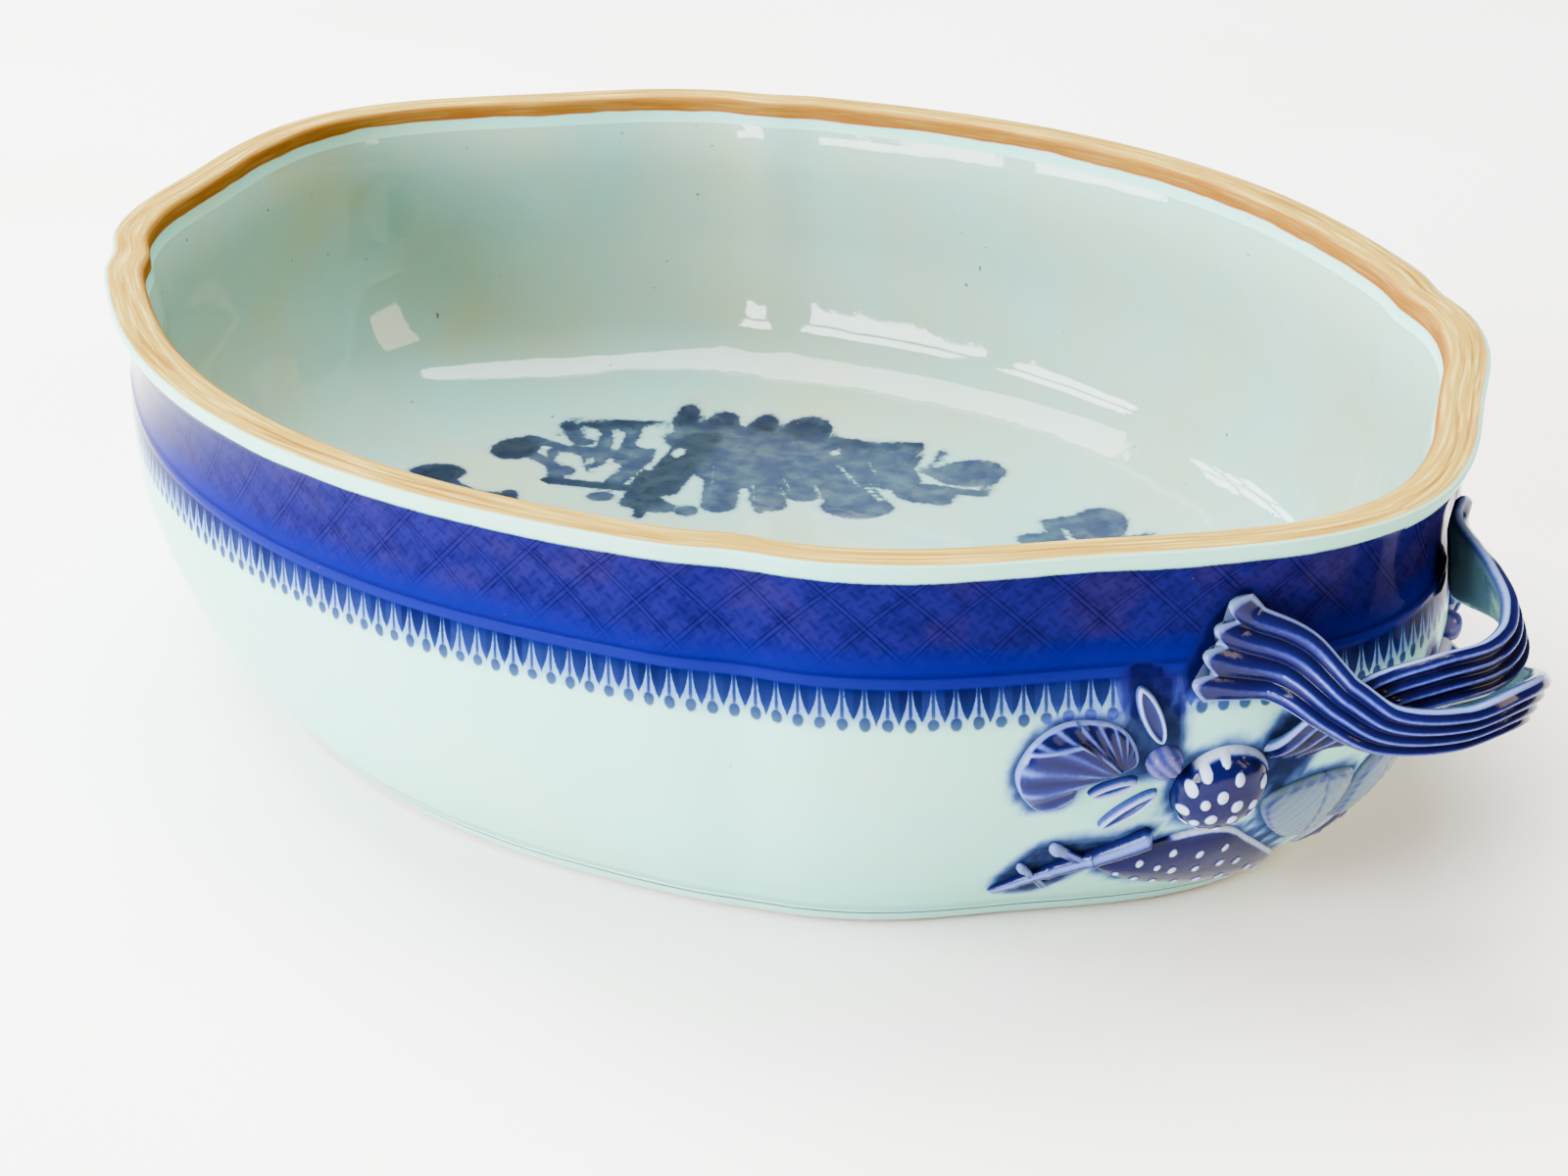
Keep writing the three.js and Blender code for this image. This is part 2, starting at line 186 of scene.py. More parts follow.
def make_mesh(name, points, quads, material, attributes=None, uv=None):
    """One smooth-shaded object from points in millimetres."""
    mesh = bpy.data.meshes.new(name)
    mesh.vertices.add(len(points))
    mesh.vertices.foreach_set("co", (np.asarray(points, float) * MM).ravel())
    corners = np.asarray(quads).ravel()
    mesh.loops.add(len(corners))
    mesh.loops.foreach_set("vertex_index", corners)
    mesh.polygons.add(len(quads))
    mesh.polygons.foreach_set("loop_start", np.arange(len(quads)) * 4)
    mesh.update(calc_edges=True)
    mesh.polygons.foreach_set("use_smooth", np.ones(len(quads), bool))
    for key, values in (attributes or {}).items():
        layer = mesh.attributes.new(key, "FLOAT", "POINT")
        layer.data.foreach_set("value", np.asarray(values, np.float32).ravel())
    if uv is not None:
        layer = mesh.uv_layers.new(name="wall")
        layer.data.foreach_set("uv", np.asarray(uv, np.float32).ravel())
    for item in material if isinstance(material, list) else [material]:
        mesh.materials.append(item)
    piece = bpy.data.objects.new(name, mesh)
    bpy.context.collection.objects.link(piece)
    return piece


def grid_quads(rows, columns, flip=False):
    """Quads of a grid of points that wraps around its columns."""
    i = np.arange(rows - 1)[:, None]
    j = np.arange(columns)[None, :]
    k = (j + 1) % columns
    quads = np.stack(
        [i * columns + j, i * columns + k, (i + 1) * columns + k, (i + 1) * columns + j], -1
    ).reshape(-1, 4)
    return quads[:, ::-1] if flip else quads


def skin_uv(angle, depth, flip=False):
    """Arc and paint depth at the corners of a skin's quads, in grid_quads' order."""
    arc = np.interp(angle, ARC_ANGLES, ARCS)
    arc_right = np.append(arc[1:], RIM_LENGTH)
    rows = np.repeat(np.arange(len(depth) - 1), len(angle))
    columns = np.tile(np.arange(len(angle)), len(depth) - 1)
    corners = [
        np.stack([side[columns], depth[row]], -1)
        for side, row in ((arc, rows), (arc_right, rows), (arc_right, rows + 1), (arc, rows + 1))
    ]
    return np.stack(corners[::-1] if flip else corners, 1).reshape(-1, 2)


def tidy(piece):
    """Merge the doubled points of collapsed rings and drop the faces they leave."""
    work = bmesh.new()
    work.from_mesh(piece.data)
    bmesh.ops.remove_doubles(work, verts=work.verts, dist=1e-7)
    bmesh.ops.dissolve_degenerate(work, dist=1e-8, edges=work.edges)
    bmesh.ops.recalc_face_normals(work, faces=work.faces)
    work.to_mesh(piece.data)
    work.free()


# ------------------------------------------------------------------ node helpers

class Field:
    """A value in a shader tree, so that patterns read as formulas."""

    def __init__(self, tree, socket):
        self.tree = tree
        self.socket = socket

    def math(self, operation, *others):
        node = self.tree.nodes.new("ShaderNodeMath")
        node.operation = operation
        for slot, item in enumerate((self, *others)):
            if isinstance(item, Field):
                self.tree.links.new(item.socket, node.inputs[slot])
            else:
                node.inputs[slot].default_value = item
        return Field(self.tree, node.outputs[0])

    def __add__(self, other):
        return self.math("ADD", other)

    def __sub__(self, other):
        return self.math("SUBTRACT", other)

    def __mul__(self, other):
        return self.math("MULTIPLY", other)

    def __truediv__(self, other):
        return self.math("DIVIDE", other)

    def abs(self):
        return self.math("ABSOLUTE")

    def fract(self):
        return self.math("FRACT")

    def floor(self):
        return self.math("FLOOR")

    def high(self, other):
        return self.math("MAXIMUM", other)

    def ramp(self, start, end):
        """0 at start, 1 at end, smooth between; start may be above end."""
        node = self.tree.nodes.new("ShaderNodeMapRange")
        node.interpolation_type = "SMOOTHSTEP"
        self.tree.links.new(self.socket, node.inputs["Value"])
        low, high = (start, end) if start < end else (end, start)
        node.inputs["From Min"].default_value = low
        node.inputs["From Max"].default_value = high
        node.inputs["To Min"].default_value = 0.0 if start < end else 1.0
        node.inputs["To Max"].default_value = 1.0 if start < end else 0.0
        return Field(self.tree, node.outputs["Result"])


def srgb(red, green, blue):
    """Linear colour of an 8-bit display colour."""
    parts = [c / 255 for c in (red, green, blue)]
    return [c / 12.92 if c <= 0.04045 else ((c + 0.055) / 1.055) ** 2.4 for c in parts] + [1.0]


class Paint:
    """A material tree with a colour that is built up layer by layer."""

    def __init__(self, name, base, roughness=0.1, specular=0.5):
        self.material = bpy.data.materials.new(name)
        self.material.use_nodes = True
        self.tree = self.material.node_tree
        self.shader = self.tree.nodes["Principled BSDF"]
        self.shader.inputs["Roughness"].default_value = roughness
        self.shader.inputs["IOR"].default_value = 1.52
        self.shader.inputs["Specular IOR Level"].default_value = specular
        self.colour = None
        self.base = base

    def attribute(self, name):
        node = self.tree.nodes.new("ShaderNodeAttribute")
        node.attribute_name = name
        return Field(self.tree, node.outputs["Fac"])

    def wall(self):
        """Arc around the rim, and depth below its outer edge, in millimetres."""
        uv = self.tree.nodes.new("ShaderNodeUVMap")
        uv.uv_map = "wall"
        split = self.tree.nodes.new("ShaderNodeSeparateXYZ")
        self.tree.links.new(uv.outputs[0], split.inputs[0])
        return Field(self.tree, split.outputs[0]), Field(self.tree, split.outputs[1])

    def noise_at(self, vector, detail, rough):
        node = self.tree.nodes.new("ShaderNodeTexNoise")
        node.inputs["Scale"].default_value = 1.0
        node.inputs["Detail"].default_value = detail
        node.inputs["Roughness"].default_value = rough
        self.tree.links.new(vector, node.inputs["Vector"])
        return Field(self.tree, node.outputs["Fac"])

    def noise(self, size, detail=2.0, rough=0.5, shift=0.0):
        """Noise in object space, with features about size millimetres across."""
        where = self.tree.nodes.new("ShaderNodeTexCoord")
        scale = self.tree.nodes.new("ShaderNodeMapping")
        scale.inputs["Scale"].default_value = [1 / (size * MM)] * 3
        scale.inputs["Location"].default_value = [shift] * 3
        self.tree.links.new(where.outputs["Object"], scale.inputs["Vector"])
        return self.noise_at(scale.outputs[0], detail, rough)

    def flat_noise(self, across, down, across_size, down_size, detail=2.0):
        """Noise in two given fields, for streaks that run around the wall."""
        join = self.tree.nodes.new("ShaderNodeCombineXYZ")
        self.tree.links.new((across / across_size).socket, join.inputs[0])
        self.tree.links.new((down / down_size).socket, join.inputs[1])
        return self.noise_at(join.outputs[0], detail, 0.5)

    def cell_noise(self, value):
        node = self.tree.nodes.new("ShaderNodeTexWhiteNoise")
        node.noise_dimensions = "1D"
        self.tree.links.new(value.socket, node.inputs["W"])
        return Field(self.tree, node.outputs["Value"])

    def layer(self, colour, amount):
        """Lay a colour over what is there, by an amount from 0 to 1."""
        node = self.tree.nodes.new("ShaderNodeMix")
        node.data_type = "RGBA"
        self.tree.links.new(amount.socket, node.inputs[0])
        if self.colour is None:
            node.inputs[6].default_value = self.base
        else:
            self.tree.links.new(self.colour, node.inputs[6])
        node.inputs[7].default_value = colour
        self.colour = node.outputs[2]

    def bump(self, height, distance, strength=1.0):
        node = self.tree.nodes.new("ShaderNodeBump")
        node.inputs["Strength"].default_value = strength
        node.inputs["Distance"].default_value = distance
        self.tree.links.new(height.socket, node.inputs["Height"])
        self.tree.links.new(node.outputs[0], self.shader.inputs["Normal"])

    def roughness(self, field):
        self.tree.links.new(field.socket, self.shader.inputs["Roughness"])

    def done(self):
        self.tree.links.new(self.colour, self.shader.inputs["Base Color"])
        return self.material


# ------------------------------------------------------------------ colours

GLAZE = srgb(134, 190, 174)
GLAZE_COOL = srgb(120, 190, 184)
GLAZE_WARM = srgb(150, 182, 152)
WASH = srgb(16, 11, 70)
WASH_GREY = srgb(28, 20, 60)
FRET = srgb(5, 3, 42)
TRELLIS = srgb(2, 1, 22)
POOLED = srgb(3, 3, 82)
RIDGE = srgb(48, 62, 148)
DARK = srgb(1, 1, 26)
BISCUIT = srgb(142, 116, 46)
BISCUIT_PALE = srgb(168, 148, 80)
RUST = srgb(100, 52, 6)
RUST_RED = srgb(118, 44, 8)
FLOWER = srgb(15, 18, 56)
FLOWER_DARK = srgb(4, 5, 28)
SPECK = srgb(70, 46, 28)

OUTER_SPECULAR = 0.004
INNER_SPECULAR = 0.26
RELIEF_SPECULAR = 0.11

BAND_TOP = 3.0
BAND_BOTTOM = 20.3
RIDGE_BOTTOM = 21.3
BORDER_HEIGHT = 7.4
INNER_STRIP = 3.4
FOOT_LINE = 73.0


# ------------------------------------------------------------------ the bowl's materials

def trellis_band(paint, arc, depth):
    """Blue wash, double-line diamonds and a small key fret between them."""
    width = RIM_LENGTH / 68
    height = 11.8
    rise = arc / width + depth / height
    fall = arc / width - depth / height
    across = width * height / math.hypot(width, height)
    waver = (paint.flat_noise(arc, depth, 45, 60) - 0.5) * 2.6
    in_band = (depth + waver).ramp(BAND_TOP - 0.3, BAND_TOP + 0.4) * depth.ramp(
        BAND_BOTTOM + 0.3, BAND_BOTTOM - 0.1
    )
    cloud = paint.noise(16, 3)
    fine = paint.noise(1.1, 3, rough=0.7)
    grain = paint.noise(3.4, 2, rough=0.6, shift=5)
    paint.layer(WASH, in_band)
    paint.layer(WASH_GREY, in_band * cloud.ramp(0.48, 0.66) * 0.6)
    paint.layer(FRET, in_band * grain.ramp(0.42, 0.68) * 0.4)

    parts = 4
    rise_cell = rise * parts
    fall_cell = fall * parts
    odd = ((rise_cell.floor() + fall_cell.floor()) * 0.5).fract() * 2
    rise_line = ((rise_cell.fract() - 0.5).abs() + fine * 0.12).ramp(0.26, 0.14)
    fall_line = ((fall_cell.fract() - 0.5).abs() + fine * 0.12).ramp(0.26, 0.14)
    odd_round = odd.ramp(0.3, 0.7)
    fret = rise_line * odd_round + fall_line * (odd_round * -1 + 1)
    paint.layer(FRET, in_band * fret * (grain * 0.7 + 0.02))

    for diagonal in (rise, fall):
        nearest = ((diagonal.fract() - 0.5).abs() * -1 + 0.5) * across
        clear = nearest.ramp(0.7, 0.4)
        paint.layer(WASH, in_band * clear * 0.35)
        line = ((nearest - 0.42).abs() + fine * 0.16).ramp(0.3, 0.1)
        paint.layer(TRELLIS, in_band * line * (grain * 0.8 + 0.3))

    foot = in_band * (depth + cloud * 6).ramp(BAND_BOTTOM - 3.5, BAND_BOTTOM + 1.8)
    paint.layer(POOLED, foot * 0.9)
    seam = in_band * (depth + fine * 0.5).ramp(BAND_BOTTOM - 1.1, BAND_BOTTOM)
    paint.layer(TRELLIS, seam * 0.5)


def spearhead_border(paint, arc, depth):
    """Dark spears hanging from the ridge; between each pair a thin stem ends in a dot."""
    period = RIM_LENGTH / 238
    place = arc / period
    chance = paint.cell_noise(place.floor())
    chance_spear = paint.cell_noise((place + 0.5).floor() + 91.7)
    across = (place.fract() - 0.5).abs()
    fine = paint.noise(0.5, 2) - 0.5
    wobble = paint.noise(2.2, 2) - 0.5
    down = (depth - RIDGE_BOTTOM) / BORDER_HEIGHT + wobble * 0.1
    edge = fine * 0.06

    from_spear = across * -1 + 0.5
    taper = down / (chance_spear * 0.14 + 0.7)
    spear = (from_spear - (taper * taper * -1 + 1) * 0.42 + edge).ramp(0.05, -0.04)
    stem = (across + edge).ramp(0.13, 0.05) * down.ramp(0.95, 0.6) * 0.9
    dot_x = across / 0.27
    dot_y = (down - 0.83) / (chance * 0.04 + 0.13)
    dot = (dot_x * dot_x + dot_y * dot_y + edge * 4).ramp(1.5, 0.6)

    inside = depth.ramp(RIDGE_BOTTOM - 0.1, RIDGE_BOTTOM + 0.1)
    bleed = (down + wobble * 0.2).ramp(1.15, 0.5)
    paint.layer(RIDGE, inside * bleed * 0.8)
    paint.layer(POOLED, inside * down.ramp(0.34, 0.0) * 0.85)
    marks = spear.high(stem).high(dot) * inside
    paint.layer(POOLED, marks * 0.85)
    paint.layer(DARK, marks * (chance * 0.3 + 0.55) * marks.ramp(0.4, 1.0) * down.ramp(1.4, 0.2))


def outer_material():
    paint = Paint("painted_wall", GLAZE, specular=OUTER_SPECULAR)
    arc, depth = paint.wall()
    tint = paint.noise(60, 3)
    paint.layer(GLAZE_COOL, tint.ramp(0.4, 0.7) * 0.6)
    paint.layer(GLAZE_WARM, paint.noise(34, 2, shift=3).ramp(0.5, 0.75) * 0.4)
    foot_wobble = paint.flat_noise(arc, depth, 16, 9) - 0.5
    foot = ((depth + foot_wobble * 0.8 - FOOT_LINE).abs()).ramp(0.85, 0.4)
    paint.layer(FRET, foot * paint.flat_noise(arc, depth, 9, 3).ramp(0.25, 0.55) * 0.85)

    spearhead_border(paint, arc, depth)
    trellis_band(paint, arc, depth)
    # Cobalt line along the raised ridge, laid extra dark as painted shade over the highlight that the
    # ridge catches.
    ridge_line_and_shade = ((depth - (BAND_BOTTOM + RIDGE_BOTTOM) / 2).abs()).ramp(1.1, 0.6)
    paint.layer(srgb(12, 14, 84), ridge_line_and_shade)

    halo = paint.attribute("halo")
    smear = (paint.noise(2.5, 3, shift=21) - 0.5) * 0.3
    below = depth.ramp(RIDGE_BOTTOM, RIDGE_BOTTOM + 3)
    paint.layer(RIDGE, (halo + smear).ramp(0.12, 0.6) * below * 0.7)
    paint.layer(WASH, (halo + smear).ramp(0.42, 0.8) * 0.8)
    paint.layer(DARK, (halo + smear).ramp(0.8, 1.05) * 0.75)

    specks = paint.noise(1.3, 0, shift=11).ramp(0.88, 0.9)
    paint.layer(SPECK, specks * 0.5)

    bare = unglazed_rim(paint, arc, depth)
    surface = paint.noise(2.6, 2, shift=8) * 0.4 + paint.noise(18, 2, shift=2)
    grain = paint.flat_noise(arc, depth, 12, 0.7, 4) * bare
    paint.bump(surface * (bare * -0.8 + 1) * 0.16 + grain * 0.5, 0.00022, 0.9)
    paint.roughness(bare.ramp(0.2, 0.9) * 0.62 + 0.08)
    return paint.done()


def unglazed_rim(paint, arc, depth):
    """Tan biscuit with rusty streaks over the rim's top and just inside it."""
    wander = (paint.flat_noise(arc, depth, 14, 30) - 0.5) * 1.3
    inner_edge = -(RIM_WIDTH + INNER_STRIP)
    bare = (depth + wander * 0.35).ramp(-0.5, -1.2) * (depth + wander).ramp(
        inner_edge - 0.25, inner_edge + 0.35
    )
    paint.layer(BISCUIT, bare)
    streak = paint.flat_noise(arc, depth, 18, 0.7, 4)
    paint.layer(BISCUIT_PALE, bare * streak.ramp(0.46, 0.64) * 0.9)
    rust_streak = paint.flat_noise(arc, depth, 30, 0.9, 4)
    middle = (depth + RIM_WIDTH * 0.45).abs().ramp(3.0, 0.4)
    paint.layer(RUST, bare * rust_streak.ramp(0.46, 0.66) * (middle * 0.55 + 0.1))
    strip = (depth + wander * 0.4).ramp(-(RIM_WIDTH - 1.0), -(RIM_WIDTH + 0.6)) * bare
    paint.layer(RUST, strip * (paint.flat_noise(arc, depth, 20, 3, 3) * 0.6 + 0.45))
    line = (depth + wander - inner_edge).abs().ramp(0.75, 0.2)
    paint.layer(RUST_RED, bare * line * 0.6)
    return bare


def inner_material():
    paint = Paint("inner_glaze", srgb(126, 152, 136), roughness=0.05, specular=INNER_SPECULAR)
    paint.layer(srgb(98, 160, 160), paint.noise(50, 3).ramp(0.35, 0.7) * 0.6)
    paint.layer(srgb(134, 146, 108), paint.noise(36, 2, shift=4).ramp(0.45, 0.75) * 0.5)
    ink = paint.attribute("ink")
    tone = paint.attribute("tone")
    ragged = (paint.noise(1.5, 3) - 0.5) * 1.6
    body = (ink + ragged).ramp(-0.7, 0.3)
    pale = paint.noise(5, 3, shift=6).ramp(0.35, 0.75)
    paint.layer(FLOWER, body * (pale * -0.1 + 0.98))
    paint.layer(FLOWER_DARK, body * (tone * 0.75 + paint.noise(3, 2, shift=12).ramp(0.5, 0.7) * 0.3))
    bleed = (ink + ragged).ramp(-2.0, 0.0)
    paint.layer(srgb(92, 116, 136), bleed * (body * -1 + 1) * 0.4)
    specks = paint.noise(1.5, 0, shift=17).ramp(0.87, 0.89)
    paint.layer(SPECK, specks * 0.8)
    paint.bump(paint.noise(22, 2, shift=1) + paint.noise(3, 2, shift=9) * 0.1, 0.00045, 0.6)
    return paint.done()


def foot_material():
    paint = Paint("foot_glaze", GLAZE, roughness=0.12, specular=0.1)
    arc, depth = paint.wall()
    paint.layer(GLAZE_COOL, paint.noise(40, 3).ramp(0.35, 0.7) * 0.6)
    foot_wobble = paint.flat_noise(arc, depth, 16, 9) - 0.5
    line = ((depth + foot_wobble * 0.8 - FOOT_LINE).abs()).ramp(0.42, 0.18)
    paint.layer(FRET, line * 0.85)
    bare = (depth + foot_wobble * 0.8).ramp(HEIGHT - 1.0, HEIGHT - 0.3)
    paint.layer(BISCUIT, bare)
    paint.layer(RUST, bare * paint.flat_noise(arc, depth, 14, 1.5).ramp(0.5, 0.7) * 0.5)
    paint.roughness(bare * 0.6 + 0.1)
    paint.bump(paint.noise(3, 2), 0.0002, 0.4)
    return paint.done()


def relief_material(name, base, crest_colour, deep, roughness=0.1):
    """Cobalt that has run off raised edges and pooled in the hollows, with painted shade and highlight
    on the straps and twigs.
    """
    paint = Paint(name, base, roughness=roughness, specular=RELIEF_SPECULAR)
    crest = paint.attribute("crest")
    shade = paint.attribute("shade")
    cloud = paint.noise(7, 3)
    fine = paint.noise(0.9, 3, rough=0.65, shift=4)
    # Deep cobalt by the shade attribute: pooled glaze in hollows, and painted shade on the straps' far
    # halves and the twigs' undersides.
    paint.layer(deep, shade * (cloud * 0.5 + 0.6))
    paint.layer(WASH, cloud.ramp(0.52, 0.72) * 0.45)
    # Pale crest: glaze run thin off raised edges, and a painted highlight along each twig's upper
    # side.
    edge = (crest + (fine - 0.5) * 0.35).ramp(0.3, 0.85)
    paint.layer(RIDGE, (crest + (fine - 0.5) * 0.3).ramp(0.05, 0.5) * 0.55)
    paint.layer(crest_colour, edge * 0.62)
    bare = paint.attribute("bare")
    paint.layer(srgb(52, 78, 84), bare * 0.85)
    paint.layer(srgb(20, 26, 48), bare * paint.noise(6, 3, shift=2).ramp(0.45, 0.7) * 0.4)
    paint.layer(srgb(14, 13, 22), paint.attribute("crack"))
    paint.bump(fine * 0.25 + cloud, 0.00018, 0.6)
    return paint.done()


# ------------------------------------------------------------------ floor flowers

def disc(x, y, cx, cy, rx, ry=None):
    ry = rx if ry is None else ry
    return (1 - np.hypot((x - cx) / rx, (y - cy) / ry)) * min(rx, ry)


def bar(x, y, x0, y0, x1, y1, thick):
    """Signed distance to a stroke with round ends."""
    dx, dy = x1 - x0, y1 - y0
    t = np.clip(((x - x0) * dx + (y - y0) * dy) / (dx * dx + dy * dy), 0, 1)
    return thick / 2 - np.hypot(x - x0 - t * dx, y - y0 - t * dy)


SPRAY_DARK_STROKES = (  # from, to, thickness: the straight edge and the long petals
    (-42, 11, -20, 14.5, 3.6), (-20, 14, -12, 16, 4.5), (-42.5, 10, -43.5, 5, 3.2),
    (17, 13.2, 39.5, 12.6, 3.4), (39.5, 12, 41, 8.5, 2.2),
    (-10, 8, -12, -28, 10), (-14, -18, -11.3, -36.5, 2.6), (-16, -14, -15, -30, 5),
    (-37, -22, -17, -22.5, 3.6),
)
SPRAY_STROKES = SPRAY_DARK_STROKES + (
    (14, 6, 33, -21, 11), (26, -6, 37, -21, 8.5), (8, 6, 20.5, -17, 8.4),
    (2, 4, 15, -24.5, 7), (-3, 4, 4, -27, 8),
    (-49, 1, -38, -4, 3), (-46, -8, -38, -14, 3.2), (-38.5, 4, -36, 1, 5), (-41, -6, -36, -20, 3),
    (-32.5, 9, -29, -10, 3.6), (-26.5, 9, -24, -8, 3.6), (-33, -6, -29, -14, 3), (-37, -4, -20, -5, 5),
    (-20, -6, -22, -20, 5), (26, 8, 37, -4, 12), (20, 10, 26, 2, 10), (36, 6, 41, -5, 6),
    (10, -22, 13.5, -28.5, 1.8), (42, 4, 50, -3, 4), (40, -9, 50, -14, 5.5),
    (33, -2, 37, -9, 3.6), (50, -8, 58, -8.5, 3.4),
)
SPRAY_BUDS = ((-16.8, 19, 3.1, 6), (-8, 18, 4.2, 5.4), (2, 17.4, 3.9, 5.8), (12.3, 16.8, 6.4, 6.6))
SPRAY_DARK_LEAF = (-50, -6, 5.6, 6.6)
SPRAY_DISCS = (*SPRAY_BUDS, SPRAY_DARK_LEAF) + (
    (-9, -31, 4.6, 3), (-2, -31.5, 2.6, 2.8), (-22.5, -28, 3, 2.6),
    (53.5, 1, 8.2, 6.4), (46, -11, 7, 5.4), (45.5, 8.5, 1.8, 2.6), (-35.5, -16.5, 3.2, 3.4),
    (-2, 8, 17, 9), (33, -22, 7.5, 5.6), (-22, -2, 4, 4), (6, -6, 14, 11), (30, 5, 11, 8),
)
SPRAY_HOLES = (
    (-35.3, 6, 2, 3.2), (-21, 4, 3.4, 3.8), (-37.3, -9, 2, 3.4), (-26.5, -14.3, 3.6, 1.8),
    (-31.5, -19, 2.4, 1.2), (-13, -0.5, 1.6, 2.8), (-29.8, 6.5, 1.2, 1.8), (-5, -25.8, 4.2, 2.4),
    (-31, -9.5, 0.9, 2.2), (21.5, 7, 1.4, 1.2),
)
SPRAY_GAPS = (
    (24, 0, 31, -10, 0.9), (33, -11, 37.5, -17, 1.1), (21.5, -12, 25.5, -20, 0.8),
    (13, -8, 17, -16, 0.3), (30, 4, 34, -4, 0.6), (8, -14, 10.5, -22, 0.3), (-3, -6, 0, -20, 0.2),
)


def floor_spray(x, y):
    """One spray: x runs along its straight edge, y points out towards the wall."""
    ink = np.full(x.shape, -9.0)
    for stroke in SPRAY_STROKES:
        ink = np.maximum(ink, bar(x, y, *stroke))
    for place in SPRAY_DISCS:
        ink = np.maximum(ink, disc(x, y, *place))
    for hole in SPRAY_HOLES:
        ink = np.minimum(ink, -disc(x, y, *hole))
    for gap in SPRAY_GAPS:
        ink = np.minimum(ink, -bar(x, y, *gap) + 0.1)
    tone = smoothstep(-1, 1.5, disc(x, y, *SPRAY_DARK_LEAF))
    for stroke in SPRAY_DARK_STROKES:
        tone = np.maximum(tone, smoothstep(-1.5, 1.5, bar(x, y, *stroke)) * 0.9)
    for bud in SPRAY_BUDS:
        tone = np.maximum(tone, smoothstep(-1, 1.5, disc(x, y, *bud)) * smoothstep(12, 17, y))
    return ink, tone


def floor_medallion(x, y):
    """A round flower in the middle of the floor, in a ring of leaves."""
    radius = np.hypot(x, y)
    turn = np.arctan2(y, x)
    ink = disc(x, y, 0, 0, 4.2)
    for count, middle, reach, width in ((8, 10.5, 5.2, 3.4), (16, 19, 3.2, 1.9)):
        off = np.abs((turn / (2 * math.pi) * count) % 1 - 0.5) * 2 * math.pi / count * radius
        ink = np.maximum(ink, width * (1 - ((radius - middle) / reach) ** 2) - off)
    return ink, smoothstep(0.2, 1.4, ink)


SPRAY_SHIFT_X = 11.0
SPRAY_SHIFT_Y = 8.0


def floor_ink(x, y):
    """Four sprays on the diagonals, not quite even, and the medallion between them."""
    across = np.where(x > 0, x - SPRAY_SHIFT_X, -x)
    along = np.where(y < 0, -y - SPRAY_SHIFT_Y, y)
    beside = -across * 0.821 + along * 0.571 + 23.9
    out = across * 0.571 + along * 0.821 - 65.7
    ink, tone = floor_spray(beside, out)
    middle, middle_tone = floor_medallion(x, y)
    return np.maximum(ink, middle), np.where(middle > ink, middle_tone, tone)


# ------------------------------------------------------------------ ornaments' layout
# Each is laid out flat: arc from the handle's middle, and height above the table.

FAN_LEAF = [
    (62.5, 40.3), (61.3, 35.6), (58, 32.3), (54, 32.4), (52.8, 35), (51.4, 36.9), (47, 38.3),
    (43.4, 39.5), (43.4, 42.4), (45.4, 46), (49, 47.9), (55, 48.1), (60, 45.2),
]
SPOTTED_LEAF = [
    (43.5, 16.2), (39.5, 19), (34.5, 22.6), (28.5, 24.2), (23, 23.6), (17.5, 19.8), (10, 14.4),
    (4, 9.8), (5, 7.6), (12, 7.2), (20, 8), (30, 10.3), (37, 12.2),
]
UNDER_LEAF = [
    (19.4, 28.6), (15.5, 31.6), (8, 32.4), (1.4, 30.2), (1.2, 22), (4, 16.4), (10, 18), (16, 22.8),
]
STRAWBERRY = ((28.7, 34.2), 8.0, 7.6, -0.5)
CALYX = ((38.9, 40), 3.0, 2.8, 0.0)
PETALS = {
    "upright_petal": ((39.6, 43.5), (43.3, 53.3), 1.8),
    "upper_petal": ((42.6, 37), (50.3, 34.6), 1.3),
    "lower_petal": ((39, 34.4), (47, 27.2), 1.6),
}
STICKS = (  # from, to, radii, knob radius at the far end
    ((37, 25), (61.5, 11.3), 1.9, 0.6, 0),
    ((46.2, 18.6), (54, 23.6), 0.9, 0.75, 1.0),
    ((51.6, 12.4), (58.4, 19.2), 0.7, 0.55, 0.75),
)
BERRY_DOTS = (
    (32.6, 39.3), (30, 41), (27.8, 38.6), (23.2, 37), (34.6, 36.5), (30, 36.4), (32.6, 34.6),
    (27.4, 34.5), (24.7, 34), (35, 32.6), (31, 32), (32.9, 30.6), (27.6, 31.6), (23.8, 31.2),
    (34, 29), (28.8, 28.6), (31.6, 27.8), (25.4, 28.3),
)
LEAF_DOTS = (
    (32, 20.5), (27, 20), (23, 20.4), (37, 18), (33.5, 17.4), (30.2, 16.3), (26.2, 16), (40, 15.5),
    (36, 14.2), (21.8, 16.4), (18, 16), (32, 13), (27.6, 12), (23.2, 11.8), (18.6, 11.6),
    (13.6, 12.6), (15, 9.4), (9.4, 9.9),
)


def closed_curve(points, count):
    """A smooth closed curve through a few points."""
    pts = np.asarray(points, float)
    n = len(pts)
    place = np.linspace(0, n, count, endpoint=False)
    i = place.astype(int) % n
    t = (place - np.floor(place))[:, None]
    a, b, c, d = pts[(i - 1) % n], pts[i], pts[(i + 1) % n], pts[(i + 2) % n]
    return 0.5 * (
        2 * b + (c - a) * t + (2 * a - 5 * b + 4 * c - d) * t**2 + (3 * b - a - 3 * c + d) * t**3
    )


def ellipse(centre, half_length, half_width, turn, count):
    a = np.linspace(0, 2 * math.pi, count, endpoint=False)
    x, y = half_length * np.cos(a), half_width * np.sin(a)
    return np.stack([
        centre[0] + x * math.cos(turn) - y * math.sin(turn),
        centre[1] + x * math.sin(turn) + y * math.cos(turn),
    ], -1)


